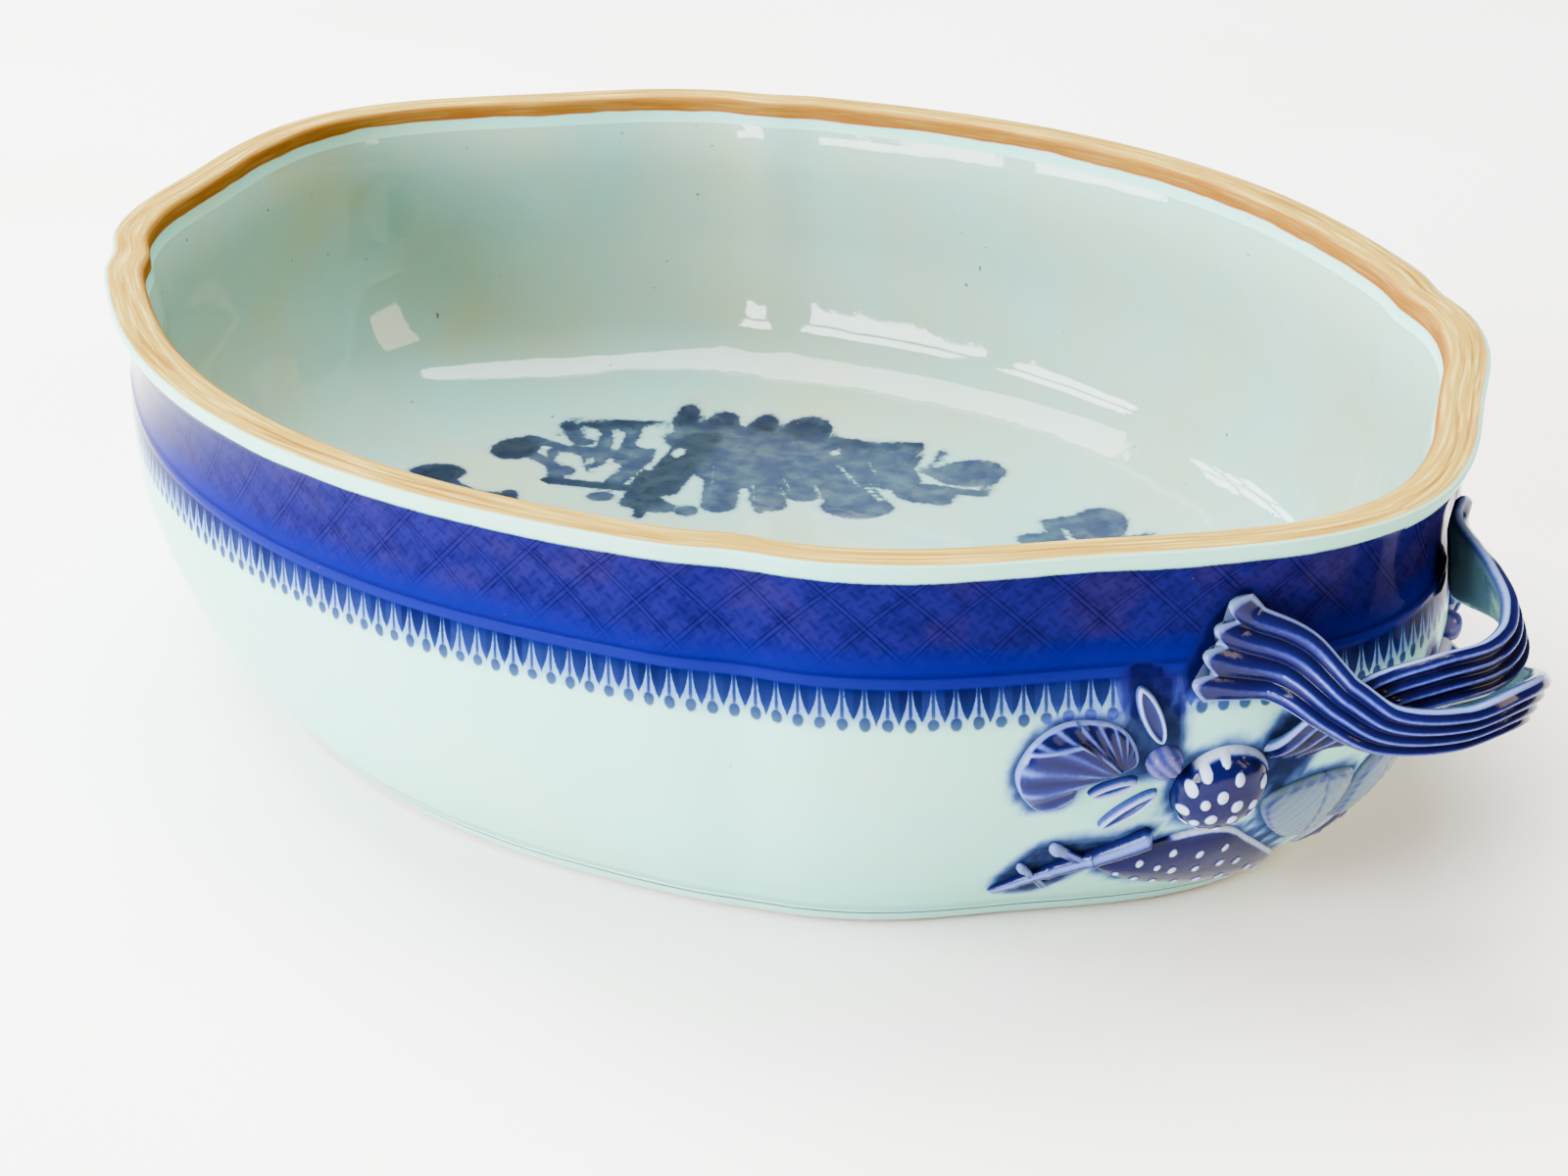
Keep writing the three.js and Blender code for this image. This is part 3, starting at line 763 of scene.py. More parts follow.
def edge_reach(outline, s, z):
    """Distance from layout points to an outline."""
    points = np.stack([s.ravel(), z.ravel()], -1)
    best = np.full(len(points), np.inf)
    for start, end in zip(outline, np.roll(outline, -1, axis=0)):
        step = end - start
        t = np.clip(((points - start) @ step) / max(step @ step, 1e-9), 0, 1)
        best = np.minimum(best, np.linalg.norm(points - start - t[:, None] * step, axis=1))
    return best.reshape(s.shape)


def inside_outline(outline, s, z):
    """Whether layout points lie inside an outline."""
    x, y = outline[:, 0], outline[:, 1]
    inside = np.zeros(s.shape, bool)
    for x0, y0, x1, y1 in zip(x, y, np.roll(x, -1), np.roll(y, -1)):
        if y0 == y1:
            continue
        crosses = ((y0 > z) != (y1 > z)) & (s < (x1 - x0) * (z - y0) / (y1 - y0) + x0)
        inside ^= crosses
    return inside


HALO_OUTLINES = [
    closed_curve(FAN_LEAF, 60), closed_curve(SPOTTED_LEAF, 60), closed_curve(UNDER_LEAF, 40),
    ellipse(*STRAWBERRY, 40), ellipse(*CALYX, 24),
    closed_curve([(37, 25.5), (43, 24), (54, 23.4), (58, 19), (60.5, 14), (58.5, 11), (52, 9.5),
                  (46, 15.5)], 60),
    closed_curve([(36.5, 45), (39, 55), (45, 56), (45, 47), (48, 40), (40, 38)], 40),
    closed_curve([(22, 52), (35.5, 52), (33, 60), (27, 68), (20, 60)], 40),
    ellipse((18, 39), 5, 7, 0.2, 30),
]
HALO_REACH = 1.5


def wall_halo(arc, z):
    """How much cobalt has run on to the wall around the ornaments."""
    halo = np.zeros(arc.shape)
    near = np.abs(arc) < 70
    s, h = np.abs(arc[near]), z[near]
    total = np.zeros(s.shape)
    for outline in HALO_OUTLINES:
        reach = np.where(inside_outline(outline, s, h), 0, edge_reach(outline, s, h))
        total = np.maximum(total, np.exp(-((reach / HALO_REACH) ** 1.3)))
    halo[near] = total
    return halo


# ------------------------------------------------------------------ the bowl

RIM_PROFILE = (  # drop below the rim's top, inset from its outer edge
    (0.8, 0.0), (0.4, 0.12), (0.14, 0.4), (0, 0.9), (0, 2.4), (0, 4.2), (0, 5.8), (0.03, 6.5),
    (0.15, 7.1), (0.45, 7.55), (0.9, 7.75),
)
RIM_MIDDLE = 5.0  # inset beyond which paint depths are measured inwards
INNER_WALL_ROWS = 18
BOTTOM_ROWS = 2
FILLET_DEPTH = -90.0  # paint depths that mark the fillet and the floor
FLOOR_DEPTH = -100.0
FLOOR_DOME = (0.5, 95, 70)  # rise, half length and half width


def bowl_body():
    """Outside, rim, inside and floor as one closed lathe-like skin on the plan."""
    ridge_z = HEIGHT - (BAND_BOTTOM + RIDGE_BOTTOM) / 2
    levels = np.concatenate([
        np.linspace(BODY_BOTTOM, 48, 18), np.linspace(49.5, 54, 4), np.linspace(54.6, 56.8, 8),
        np.linspace(58, 72, 8), np.linspace(73, 75.2, 5),
    ])
    rings = []  # z, scale, inset, paint depth

    def scale_at(z):
        return float(smooth_through(WALL_SCALE, np.array([z]))[0])

    rings.append((BODY_BOTTOM, 0.0, 0.0, HEIGHT))
    rings.append((BODY_BOTTOM, 0.5, 0.0, HEIGHT))
    for z in levels:
        ridge = math.exp(-(((z - ridge_z) / 0.7) ** 2))
        lip = smoothstep(HEIGHT - 3.4, HEIGHT - 2.4, z)
        band = smoothstep(ridge_z + 0.6, ridge_z + 1.6, z) - lip
        rings.append((z, scale_at(z), 0.3 - 0.15 * ridge - 0.3 * lip + 0.15 * band, HEIGHT - z))
    for drop, inset in RIM_PROFILE:
        paint_depth = drop - inset if inset < RIM_MIDDLE else -inset - drop
        rings.append((HEIGHT - drop, scale_at(HEIGHT - drop), inset, paint_depth))
    for z in np.concatenate([np.linspace(74.9, 69.5, 6), np.linspace(67, 25, 16)]):
        thick = WALL_THICKNESS + 1.3 * smoothstep(70.5, HEIGHT, z)
        rings.append((z, scale_at(z), thick, -RIM_WIDTH - (HEIGHT - z)))
    inner_start = len(rings) - INNER_WALL_ROWS
    for share in np.linspace(1, 0, 12) ** 1.6:
        z = FLOOR_HEIGHT + FLOOR_FILLET_HEIGHT * share
        slump = FLOOR_FILLET_WIDTH * (1 - math.sqrt(1 - (1 - share) ** 2))
        rings.append((z, scale_at(z), WALL_THICKNESS + slump, FILLET_DEPTH))
    fillet = rings[-1]
    for share in np.linspace(1, 0, 62)[1:]:
        rings.append((FLOOR_HEIGHT, fillet[1] * share, fillet[2] * share, FLOOR_DEPTH))

    angle = np.arange(AROUND) * 2 * math.pi / AROUND
    z, scale, inset, depth = np.array(rings).T[:, :, None]
    radius = np.maximum(plan_radius(angle[None, :], z) * scale - inset, 0)
    radius[0] = 0
    radius[-1] = 0
    x, y = radius * np.cos(angle), radius * np.sin(angle)
    zz = np.broadcast_to(z, x.shape).copy()
    rise, half_length, half_width = FLOOR_DOME
    dome = rise * (1 - np.clip(np.hypot(x / half_length, y / half_width), 0, 1)) ** 2
    zz += np.where(depth == FLOOR_DEPTH, dome, 0)
    points = np.stack([x, y, zz], -1).reshape(-1, 3)
    quads = grid_quads(len(rings), AROUND)

    arc = np.interp(angle, ARC_ANGLES, ARCS)
    signed_arc = np.where(arc > RIM_LENGTH / 2, arc - RIM_LENGTH, arc)
    from_tip = np.where(np.abs(signed_arc) > RIM_LENGTH / 4,
                        RIM_LENGTH / 2 - np.abs(signed_arc), np.abs(signed_arc))
    outside = depth > 1.0
    halo = wall_halo(np.broadcast_to(from_tip, x.shape), zz) * outside
    ink, tone = floor_ink(x, y)
    on_floor = depth <= FILLET_DEPTH
    ink = np.where(on_floor, ink, -9)
    tone = np.where(on_floor, tone, 0)

    body = make_mesh(
        "painted_bowl", points, quads,
        [outer_material(), inner_material(), foot_material()],
        {"halo": halo, "ink": ink, "tone": tone}, skin_uv(angle, depth[:, 0]),
    )
    rows = np.repeat(np.arange(len(rings) - 1), AROUND)
    index = np.where(rows < BOTTOM_ROWS, 2, np.where(rows < inner_start, 0, 1))
    body.data.polygons.foreach_set("material_index", index)
    tidy(body)
    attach(body, "root")
    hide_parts("bowl_body")


FOOT_PROFILE = (  # height, inset from the scaled outline
    (FOOT_HEIGHT + 0.2, 0.3), (3.6, 0.3), (2.9, 0.3), (2.2, 0.3), (1.5, 0.3), (0.9, 0.3),
    (0.35, 0.75), (0.0, 1.3), (0.0, 3.2), (0.0, 5.2), (0.4, 5.9), (1.0, 6.2), (2.4, 6.4),
    (FOOT_HEIGHT + 0.2, 6.5), (FOOT_HEIGHT + 0.2, 0.3),
)


def foot_ring():
    """The standing ring, closed around its section."""
    angle = np.arange(AROUND) * 2 * math.pi / AROUND
    z, inset = np.array(FOOT_PROFILE).T[:, :, None]
    radius = plan_radius(angle[None, :], z) * smooth_through(WALL_SCALE, z) - inset
    points = np.stack([
        radius * np.cos(angle), radius * np.sin(angle), np.broadcast_to(z, radius.shape)
    ], -1).reshape(-1, 3)
    quads = grid_quads(len(FOOT_PROFILE), AROUND, flip=True)
    uv = skin_uv(angle, HEIGHT - z[:, 0], flip=True)
    ring = make_mesh("standing_ring", points, quads, foot_material(), uv=uv)
    tidy(ring)
    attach(ring, "root")
    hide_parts("foot_ring")


# ------------------------------------------------------------------ handle straps

# Each strap runs from its fan-shaped root to its plain root on the other side.

OUTER_STRAP = {
    "fan": ((-32.2, 60.4, 2), (-26.5, 58, 2.8)),
    "free": (
        (149.7, -22, 56.8), (159, -20.3, 52.6), (164.6, -17, 49.8), (171.4, -8.4, 49.4),
        (174.4, 0, 50.8), (172.2, 9, 49), (165, 15.5, 44.8), (155.5, 18.4, 40.4),
    ),
    "plain": (17.6, 38.8, -1),
    "lean": -0.3,
}
INNER_STRAP = {
    "fan": ((32.2, 59.4, 2), (26.5, 58.2, 2.8)),
    "free": (
        (150.5, 22.3, 58.4), (158.5, 17.5, 59), (166, 11.5, 58.6), (169.5, 6, 57.4),
        (170, 0, 56.4), (166.6, -8, 55.4), (160.4, -13.6, 52), (154.5, -17.3, 45.5),
    ),
    "plain": (-17.6, 38.8, -1),
    "lean": 0.25,
}
STRAP_HALF_WIDTH = [(0, 9.6), (0.1, 7.5), (0.2, 5.5), (0.35, 4.6), (0.6, 4.2), (1, 5)]
FAN_SCALLOP = 3.0
FAN_LENGTH = 0.08


def centripetal(points, per_span=40):
    """Centripetal Catmull-Rom curve through points, evenly spaced along its length."""
    pts = np.asarray(points, float)
    ext = np.vstack([2 * pts[0] - pts[1], pts, 2 * pts[-1] - pts[-2]])
    out = []
    for i in range(1, len(ext) - 2):
        p = ext[i - 1:i + 3]
        t = np.concatenate([[0], np.cumsum(np.linalg.norm(np.diff(p, axis=0), axis=1) ** 0.5)])
        u = np.linspace(t[1], t[2], per_span, endpoint=False)[:, None]

        def mix(a, b, low, high):
            return ((t[high] - u) * a + (u - t[low]) * b) / (t[high] - t[low])

        a1, a2, a3 = (mix(p[k], p[k + 1], k, k + 1) for k in range(3))
        out.append(mix(mix(a1, a2, 0, 2), mix(a2, a3, 1, 3), 1, 2))
    out.append(pts[-1:])
    curve = np.vstack(out)
    length = np.concatenate([[0], np.cumsum(np.linalg.norm(np.diff(curve, axis=0), axis=1))])
    return curve, length / length[-1]


def relief_piece(name, node, slot, material, points, quads, turned, **painted):
    """Make a strap or ornament, at the left end half a turn around from the right."""
    points = points.reshape(-1, 3) * ((-1, -1, 1) if turned else (1, 1, 1))
    none = np.zeros(len(points))
    layers = {key: painted.get(key, none) for key in ("crest", "shade", "crack", "bare")}
    piece = make_mesh(name, points, quads, material, layers)
    tidy(piece)
    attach(piece, "root")
    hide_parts(node)


def unit(vectors):
    return vectors / np.linalg.norm(vectors, axis=-1, keepdims=True)


def strap(name, node, plan, turned):
    """A ribbed strap along its path, laid flat on the wall at its fan-shaped root."""
    path = [on_wall(np.array(s), np.array(z), np.array(off)) for s, z, off in plan["fan"]]
    path += [np.array(point, float) for point in plan["free"]]
    s, z, off = plan["plain"]
    path.append(on_wall(np.array(s), np.array(z), np.array(off)))
    curve, share = centripetal(path)

    steps = 281
    along = np.linspace(0, 1, steps)

    def at(places):
        return np.stack([np.interp(places, share, curve[:, k]) for k in range(3)], -1)

    centre = at(along)
    tangent = unit(at(np.minimum(along + 0.006, 1)) - at(np.maximum(along - 0.006, 0)))
    face = unit(np.stack([centre[:, 0] - 100, centre[:, 1] * 0.9, centre[:, 2] * 0], -1))
    face[:, 2] = plan["lean"] * np.sin(along * math.pi)
    side = unit(np.cross(face, tangent))
    normal = unit(np.cross(tangent, side))
    width = smooth_through(STRAP_HALF_WIDTH, along)[:, None]

    out_count, in_count = 96, 26
    across_out = np.linspace(1, -1, out_count)
    across_in = np.linspace(-1, 1, in_count)[1:-1]
    across = np.concatenate([across_out, across_in])[None, :]
    outward = np.concatenate([np.ones(out_count), np.zeros(in_count - 2)])[None, :]
    rib = np.abs(np.sin(across * STRAP_RIBS * math.pi / 2))
    rounded = np.sqrt(np.clip(1 - np.abs(across) ** 7, 0, 1))
    high = (0.5 - 0.27 * (1 - rib**1.3)) * rounded
    low = -0.5 * rounded + 0.08 * (1 - across**2)
    thin = np.sqrt(np.clip(along / 0.014, 0, 1))[:, None] * 0.92 + 0.08
    section = np.where(outward > 0, high, low) * thin

    push = FAN_SCALLOP * (1 - rib) * np.maximum(1 - along / FAN_LENGTH, 0)[:, None]
    free = (
        centre[:, None, :]
        + side[:, None, :] * (across * width)[..., None]
        + normal[:, None, :] * (section * STRAP_THICKNESS)[..., None]
        + tangent[:, None, :] * push[..., None]
    )
    angle = np.arctan2(free[..., 1], free[..., 0])
    laid_off = (section + 0.5) * STRAP_THICKNESS - 0.1
    laid = wall_point(angle, free[..., 2]) + wall_normal(angle, free[..., 2]) * laid_off[..., None]
    root = 1 - smoothstep(0.05, 0.16, along)[:, None, None]
    free = free * (1 - root) + laid * root
    first = np.broadcast_to(free[:1].mean(axis=1, keepdims=True), free[:1].shape)
    last = np.broadcast_to(free[-1:].mean(axis=1, keepdims=True), free[-1:].shape)
    points = np.concatenate([first, free, last])

    column = np.ones((steps, 1))
    rim_band = np.clip(1 - along / 0.02, 0, 1)[:, None]
    crest = np.maximum(rib**12 * 0.5 * column, smoothstep(0.93, 0.99, np.abs(across)) * column)
    near_root = smoothstep(0.2, 0.05, along)[:, None]
    crest = np.maximum(crest * (1 - 0.75 * near_root * (np.abs(across) < 0.9)), rim_band ** 0.5)
    crest = crest * (outward * 0.9 + 0.1)
    # Darker beyond the strap's middle: painted shade where it turns away from the light, with some
    # pooled glaze; the grooves' darkening is pooled cobalt.
    far_shade_and_pooling = 0.45 * smoothstep(0.25, 0.55, along)[:, None]
    groove_pooling_and_far_shade = np.clip((1 - rib) ** 0.7 + far_shade_and_pooling, 0, 1) * outward
    bare = (1 - outward) * smoothstep(1.0, 0.8, np.abs(across)) * column

    def capped(values):
        return np.concatenate([values[:1], values, values[-1:]])

    relief_piece(
        name, node, "cobalt_glaze", COBALT_STRAP, points, grid_quads(*points.shape[:2]), turned,
        crest=capped(crest), shade=capped(groove_pooling_and_far_shade), bare=capped(bare),
    )


# ------------------------------------------------------------------ ornaments

def pad(name, node, outline, centre, relief, material, slot, side, turned, layers=26):
    """A moulded ornament: rings from its middle to its edge, then sunk into the wall.

    relief(s, z, rim) gives height, crest, shade and crack, where rim runs from 0 in
    the middle to 1 at the edge.
    """
    centre = np.asarray(centre, float)
    rim = np.concatenate([np.linspace(0, 1, layers) ** 0.85, [1.0]])
    flat = centre + rim[:, None, None] * (outline[None] - centre)
    s, z = flat[..., 0], flat[..., 1]
    height, crest, shade, crack = relief(s, z, np.broadcast_to(rim[:, None], s.shape))
    edge = np.sqrt(np.clip(1 - rim[:, None] ** 9, 0, 1))
    off = height * edge
    off[-1] = -0.5
    off[-2] = -0.05
    points = on_wall(side * s, z, off)
    back = on_wall(side * centre[0], np.array(centre[1]), np.array(-0.5))
    points = np.concatenate([points, np.broadcast_to(back, points[:1].shape)])

    def extend(values):
        return np.concatenate([values, values[-1:]])

    relief_piece(
        name, node, slot, material, points, grid_quads(*points.shape[:2]), turned,
        crest=extend(crest), shade=extend(shade), crack=extend(crack),
    )


def bump_at(distance, width):
    return np.exp(-((distance / width) ** 2))


FOLD = ((43, 38.2), (45, 38.6), (48, 42), (50.5, 43.8), (52.5, 45), (55, 44.7), (62, 43.8))
CRACK = ((53, 48.2), (52.8, 45.2), (50.6, 43.6), (48.2, 41.3), (45.4, 38.7), (42.6, 38.3))


def fan_leaf_relief(cracked):
    """A folded leaf: the front lobe lies over the back one along the fold."""
    outline = closed_curve(FAN_LEAF, 90)

    def relief(s, z, rim):
        turn = np.arctan2(z - 38.4, s - 45.2)
        reach = np.hypot(s - 45.2, z - 38.4)
        fold_z = np.interp(s, [p[0] for p in FOLD], [p[1] for p in FOLD])
        front = smoothstep(0.25, -0.25, z - fold_z)
        curl = turn * 21 + reach * 0.17 * front
        ribs = 0.5 + 0.5 * np.cos(curl * (1 + 0.35 * (1 - front)))
        edge = edge_reach(outline, s, z)
        dome = np.sqrt(np.clip(1 - np.clip(1 - edge / 4.5, 0, 1) ** 2, 0, 1))
        fade = smoothstep(1.5, 6, reach)
        height = 0.45 + 1.0 * dome + 0.3 * ribs * fade + 0.6 * front - 0.35 * (1 - front) * dome
        step = bump_at(z - fold_z + 0.3, 0.28) * (s > 44)
        crest = np.maximum(smoothstep(0.75, 0.25, edge) * 0.95, step * 0.9)
        crest = np.maximum(crest, ribs**4 * fade * (0.34 + 0.3 * smoothstep(5, 1, edge)))
        behind = bump_at(z - fold_z - 0.7, 0.7)
        shade = np.clip((1 - ribs) * 0.75 * fade + 0.5 * (1 - front) + behind * 0.8, 0, 1)
        crack = np.zeros(s.shape)
        if cracked:
            for a, b in zip(CRACK, CRACK[1:]):
                crack = np.maximum(crack, smoothstep(-0.08, 0.1, bar(s, z, *a, *b, 0.4)))
        return height, crest, shade, crack
    return relief


def petal_relief(outline):
    """A hollow petal with a thick raised rim."""
    def relief(s, z, rim):
        edge = edge_reach(outline, s, z)
        ring = bump_at(edge - 0.5, 0.36)
        height = 0.4 + 0.9 * ring + 0.1 * rim
        return height, ring, smoothstep(0.7, 1.3, edge) * 0.5, np.zeros(s.shape)
    return relief


def calyx_relief(s, z, rim):
    turn = np.arctan2(z - 34.5, s - 33.0)
    stripe = 0.5 + 0.5 * np.cos(turn * 34)
    dome = np.sqrt(np.clip(1 - rim**2.2, 0, 1))
    height = 0.6 + 1.8 * dome + 0.22 * stripe
    return height, 0.28 + 0.3 * stripe, (1 - stripe) * 0.7, np.zeros(s.shape)


def dotted_relief(outline, dots, thickness, radius, rise, seed, pale_edge):
    """A dome with raised pale dots; pale_edge(s, z) is where its edge is pale too."""
    chance = np.random.default_rng(seed)
    dots = [(s + a, z + b, c) for (s, z), (a, b, c) in zip(
        dots, chance.uniform((-0.2, -0.2, 0.85), (0.2, 0.2, 1.15), (len(dots), 3)))]

    def relief(s, z, rim):
        edge = edge_reach(outline, s, z)
        dome = np.sqrt(np.clip(1 - rim**2.1, 0, 1))
        height = 0.35 + (thickness - 0.35) * dome
        crest = smoothstep(0.9, 0.3, edge) * pale_edge(s, z)
        for cs, cz, size in dots:
            reach = np.hypot((s - cs) * 1.15, (z - cz) * 0.9) / (radius * size)
            height = height + rise * np.sqrt(np.clip(1 - reach**2, 0, 1))
            crest = np.maximum(crest, smoothstep(1.1, 0.75, reach))
        shade = np.clip(1 - crest - 0.2 * dome, 0, 1)
        return height, crest, shade, np.zeros(s.shape)
    return relief


def under_leaf_relief(s, z, rim):
    spine_s = 7.2 + 0.12 * (z - 22) + 0.02 * (z - 22) ** 2 * 0.2
    off = s - spine_s
    veins = 0.5 + 0.5 * np.cos((z + np.abs(off) * 1.1) * 2.6)
    dome = np.sqrt(np.clip(1 - rim**2.6, 0, 1))
    height = 0.4 + 1.3 * dome - 0.25 * bump_at(off, 0.5) - 0.12 * veins * (1 - bump_at(off, 0.8))
    edge = bump_at(rim - 0.9, 0.05)
    shade = np.clip(bump_at(off, 0.45) * 0.8 + edge + 0.25 * (1 - veins) * (rim > 0.2), 0, 1)
    return height, 0.25 * veins + 0.2, shade, np.zeros(s.shape)


def twig_mesh(name, node, side, turned):
    """A knotty twig with a joint and two knobbed side shoots, lying on the wall."""
    points, quads, crest, shade, crack = [], [], [], [], []
    count = 24
    for start, end, r0, r1, knob in STICKS:
        start, end = np.array(start, float), np.array(end, float)
        steps = 30 if knob else 90
        length = np.linalg.norm(end - start)
        ahead = (end - start) / length
        across = np.array([ahead[1], -ahead[0]])
        t = np.linspace(0, 1, steps)
        radius = r0 + (r1 - r0) * t
        if knob:
            radius = np.maximum(radius, knob * np.sqrt(np.clip(1 - ((t - 0.84) / 0.2) ** 2, 0, 1)))
        else:
            for joint in (0.36, 0.62, 0.83):
                radius = radius * (1 + 0.13 * bump_at(t - joint, 0.02))
        radius = radius * np.sqrt(np.clip(np.minimum(t, 1 - t) / 0.035, 0.0004, 1))
        turn = np.arange(count) * 2 * math.pi / count
        bend = 0.4 * np.sin(t * math.pi * 2.2) * (0 if knob else 1)
        s = start[0] + ahead[0] * length * t[:, None] + across[0] * (
            radius[:, None] * np.cos(turn) + bend[:, None])
        z = start[1] + ahead[1] * length * t[:, None] + across[1] * (
            radius[:, None] * np.cos(turn) + bend[:, None])
        off = radius[:, None] * (0.5 + np.sin(turn)) + (0.2 if knob else 0.0)
        first = sum(len(p) for p in points)
        points.append(on_wall(side * s, z, off).reshape(-1, 3))
        quads.append(grid_quads(steps, count) + first)
        # Painted highlight along the twig's upper side, and painted shade on the rest of its round
        # through the shade layer.
        upper_highlight = bump_at(np.angle(np.exp(1j * (turn - 2.25))), 0.5)[None, :] * np.ones((steps, 1))
        tip = np.zeros((steps, 1)) if not knob else smoothstep(0.45, 0.8, t)[:, None]
        crest.append(np.maximum(upper_highlight * 0.9, tip * np.ones((1, count))).ravel())
        shade.append((0.75 * (1 - upper_highlight)).ravel())
        split = np.zeros((steps, 1)) if knob else bump_at(t - 0.362, 0.006)[:, None]
        crack.append((split * np.ones((1, count)) * 0.9).ravel())
    relief_piece(
        name, node, "cobalt_glaze", COBALT, np.concatenate(points), np.concatenate(quads), turned,
        crest=np.concatenate(crest), shade=np.concatenate(shade), crack=np.concatenate(crack),
    )


def ornaments(end, side_name, side, turned):
    def place(kind, outline, centre, relief, material, slot="cobalt_glaze", layers=26):
        pad(f"{end}_{side_name}_{kind}_relief", f"{end}_{side_name}_{kind}", outline, centre,
            relief, material, slot, side, turned, layers)

    seed = 10 + 2 * (end == "left") + (side_name == "far")
    cracked = end == "right" and side_name == "near"
    place("fan_leaf", closed_curve(FAN_LEAF, 220), (53, 40.6), fan_leaf_relief(cracked), COBALT,
          layers=52)
    for kind, (base, tip, half_width) in PETALS.items():
        centre = ((base[0] + tip[0]) / 2, (base[1] + tip[1]) / 2)
        length = math.dist(base, tip) / 2
        turn = math.atan2(tip[1] - base[1], tip[0] - base[0])
        outline = ellipse(centre, length, half_width, turn, 72)
        place(kind, outline, centre, petal_relief(outline), PETAL, layers=34)
    place("calyx", ellipse(*CALYX, 72), CALYX[0], calyx_relief, CALYX_GLAZE)
    berry = ellipse(*STRAWBERRY, 150)
    place("strawberry", berry, STRAWBERRY[0],
          dotted_relief(berry, BERRY_DOTS, 5.0, 0.95, 0.5, seed,
                        lambda s, z: smoothstep(0, 3, (33 - s) + (z - 36) * 0.9) * 0.75),
          BERRY, layers=60)
    spotted = closed_curve(SPOTTED_LEAF, 200)
    place("spotted_leaf", spotted, (27, 15.6),
          dotted_relief(spotted, LEAF_DOTS, 1.9, 0.72, 0.35, seed + 40,
                        lambda s, z: smoothstep(-1, 1, (z - 10) - (s - 10) * 0.55) * 0.7),
          BERRY, layers=56)
    place("under_leaf", closed_curve(UNDER_LEAF, 110), (9.5, 25), under_leaf_relief,
          PALE_LEAF, "pale_leaf_glaze", layers=30)
    twig_mesh(f"{end}_{side_name}_twig_relief", f"{end}_{side_name}_twig", side, turned)


COBALT_STRAP = relief_material("cobalt_strap", srgb(13, 14, 64), srgb(104, 122, 154), srgb(2, 2, 20))
COBALT = relief_material("cobalt_relief", srgb(20, 24, 80), srgb(92, 112, 160), srgb(4, 5, 36))
BERRY = relief_material("berry_relief", srgb(13, 16, 74), srgb(184, 200, 216), srgb(4, 4, 40))
PETAL = relief_material("petal_glaze", srgb(36, 48, 104), srgb(142, 162, 192), srgb(12, 18, 70))
CALYX_GLAZE = relief_material("calyx_glaze", srgb(46, 42, 60), srgb(104, 98, 108), srgb(14, 12, 34))
PALE_LEAF = relief_material("pale_leaf", srgb(96, 122, 104), srgb(130, 158, 140), srgb(20, 26, 66))

bowl_body()
foot_ring()
for end, turned in (("right", False), ("left", True)):
    strap(f"{end}_outer_band", f"{end}_outer_strap", OUTER_STRAP, turned)
    strap(f"{end}_inner_band", f"{end}_inner_strap", INNER_STRAP, turned)
    for side_name in ("near", "far"):
        toward = -1 if side_name == "near" else 1
        ornaments(end, side_name, -toward if turned else toward, turned)

# ------------------------------------------------------------------ table, light, camera

def table():
    mesh = bpy.data.meshes.new("table")
    size = 3.0
    mesh.from_pydata([(-size, -size, 0), (size, -size, 0), (size, size, 0), (-size, size, 0)], [],
                     [(0, 1, 2, 3)])
    floor = bpy.data.objects.new("table", mesh)
    floor.location.z = -0.0003
    bpy.context.collection.objects.link(floor)
    paint = Paint("paper", srgb(242, 240, 238), roughness=0.7)
    paint.layer(srgb(236, 230, 222), paint.noise(160, 3).ramp(0.45, 0.7) * 0.5)
    paint.bump(paint.noise(3, 4), 0.0002, 0.3)
    mesh.materials.append(paint.done())


def area_light(name, where, target, width, height, power, colour=(1, 1, 1)):
    light = bpy.data.lights.new(name, "AREA")
    light.shape = "RECTANGLE"
    light.size = width
    light.size_y = height
    light.energy = power
    light.color = colour
    lamp = bpy.data.objects.new(name, light)
    bpy.context.collection.objects.link(lamp)
    lamp.location = where
    aim = Vector(target) - Vector(where)
    lamp.rotation_euler = aim.to_track_quat("-Z", "Y").to_euler()
    return lamp


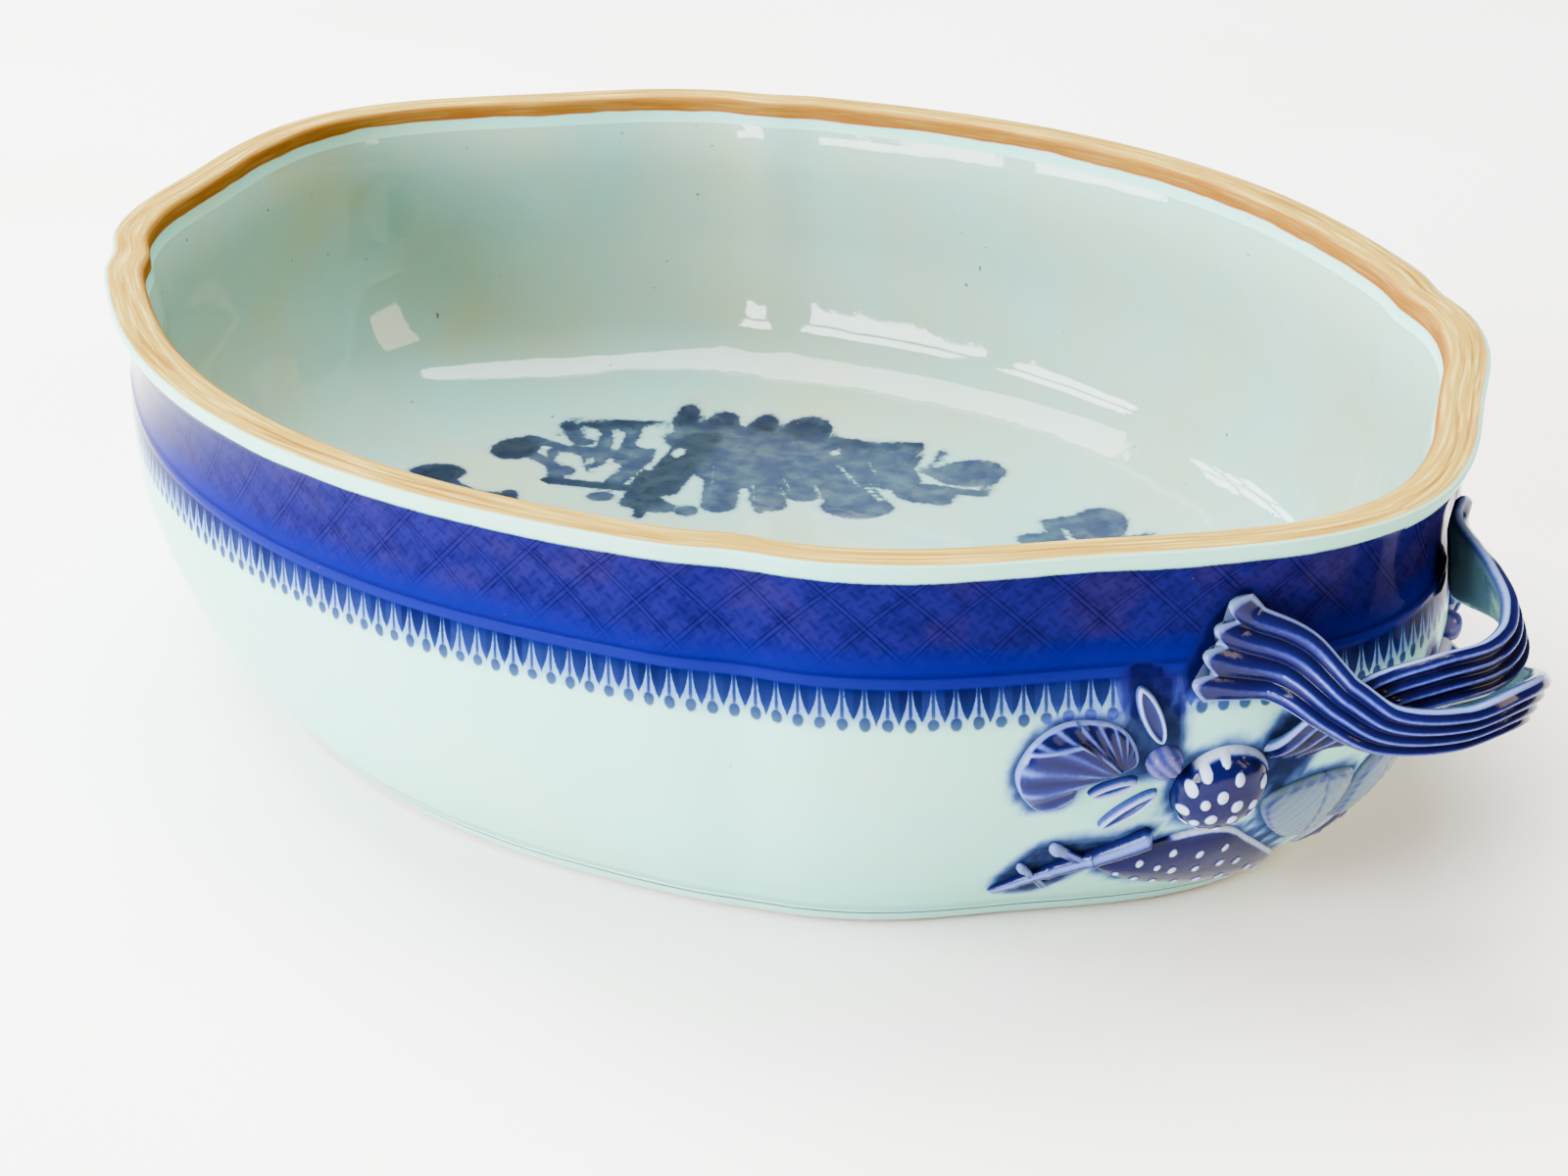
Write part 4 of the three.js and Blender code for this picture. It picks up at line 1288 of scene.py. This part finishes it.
def window(name, direction, distance, width, height, power):
    """A window of two by three panes, far to one side of the bowl."""
    towards = Vector(direction).normalized()
    across = towards.cross(Vector((0, 0, 1))).normalized()
    up = across.cross(towards).normalized()
    middle = towards * distance + Vector((0, 0, 0.04))
    for column in (-0.5, 0.5):
        for row in (-1, 0, 1):
            where = middle + across * column * width / 2 * 1.12 + up * row * height / 3 * 1.12
            area_light(f"{name}_{column}_{row}", where, (0, 0, 0.04), width / 2 * 0.9,
                       height / 3 * 0.86, power / 6, (0.95, 0.98, 1.0))


CAMERA_TURN = (49.8, 25.54, -0.94)  # degrees around, up and rolled
CAMERA_AIM = (110.3, -87.25, HEIGHT)
CAMERA_DISTANCE = 378.5
CAMERA_LENS = 60.92


def camera():
    azimuth, elevation, roll = np.radians(CAMERA_TURN)
    back = Vector((math.sin(azimuth) * math.cos(elevation),
                   -math.cos(azimuth) * math.cos(elevation), math.sin(elevation)))
    aim = Vector(CAMERA_AIM) * MM
    right = (-back).cross(Vector((0, 0, 1))).normalized()
    up = right.cross(-back)
    x_axis = right * math.cos(roll) + up * math.sin(roll)
    y_axis = -right * math.sin(roll) + up * math.cos(roll)
    data = bpy.data.cameras.new("camera")
    data.sensor_width = 36
    data.lens = CAMERA_LENS
    data.clip_start = 0.01
    eye = bpy.data.objects.new("camera", data)
    bpy.context.collection.objects.link(eye)
    turn = Matrix((x_axis, y_axis, back)).transposed().to_4x4()
    eye.matrix_world = Matrix.Translation(aim + back * CAMERA_DISTANCE * MM) @ turn
    bpy.context.scene.camera = eye


table()
camera()
window("window_left", (-0.36, -0.93, 0.33), 1.6, 1.5, 0.85, 230)
window("window_back", (-0.95, -0.12, 0.5), 1.7, 0.3, 0.5, 20)
area_light("overhead", (-0.6, 0.1, 1.5), (0, 0, 0), 1.2, 1.2, 150, (1.0, 1.0, 1.0))
area_light("warm_fill", (1.2, 0.5, 0.9), (0.1, 0, 0), 0.7, 0.7, 30, (1.0, 0.78, 0.52))

world = bpy.data.worlds.new("room")
world.use_nodes = True
world.node_tree.nodes["Background"].inputs["Color"].default_value = (0.86, 0.9, 0.95, 1)
world.node_tree.nodes["Background"].inputs["Strength"].default_value = 0.3
bpy.context.scene.world = world
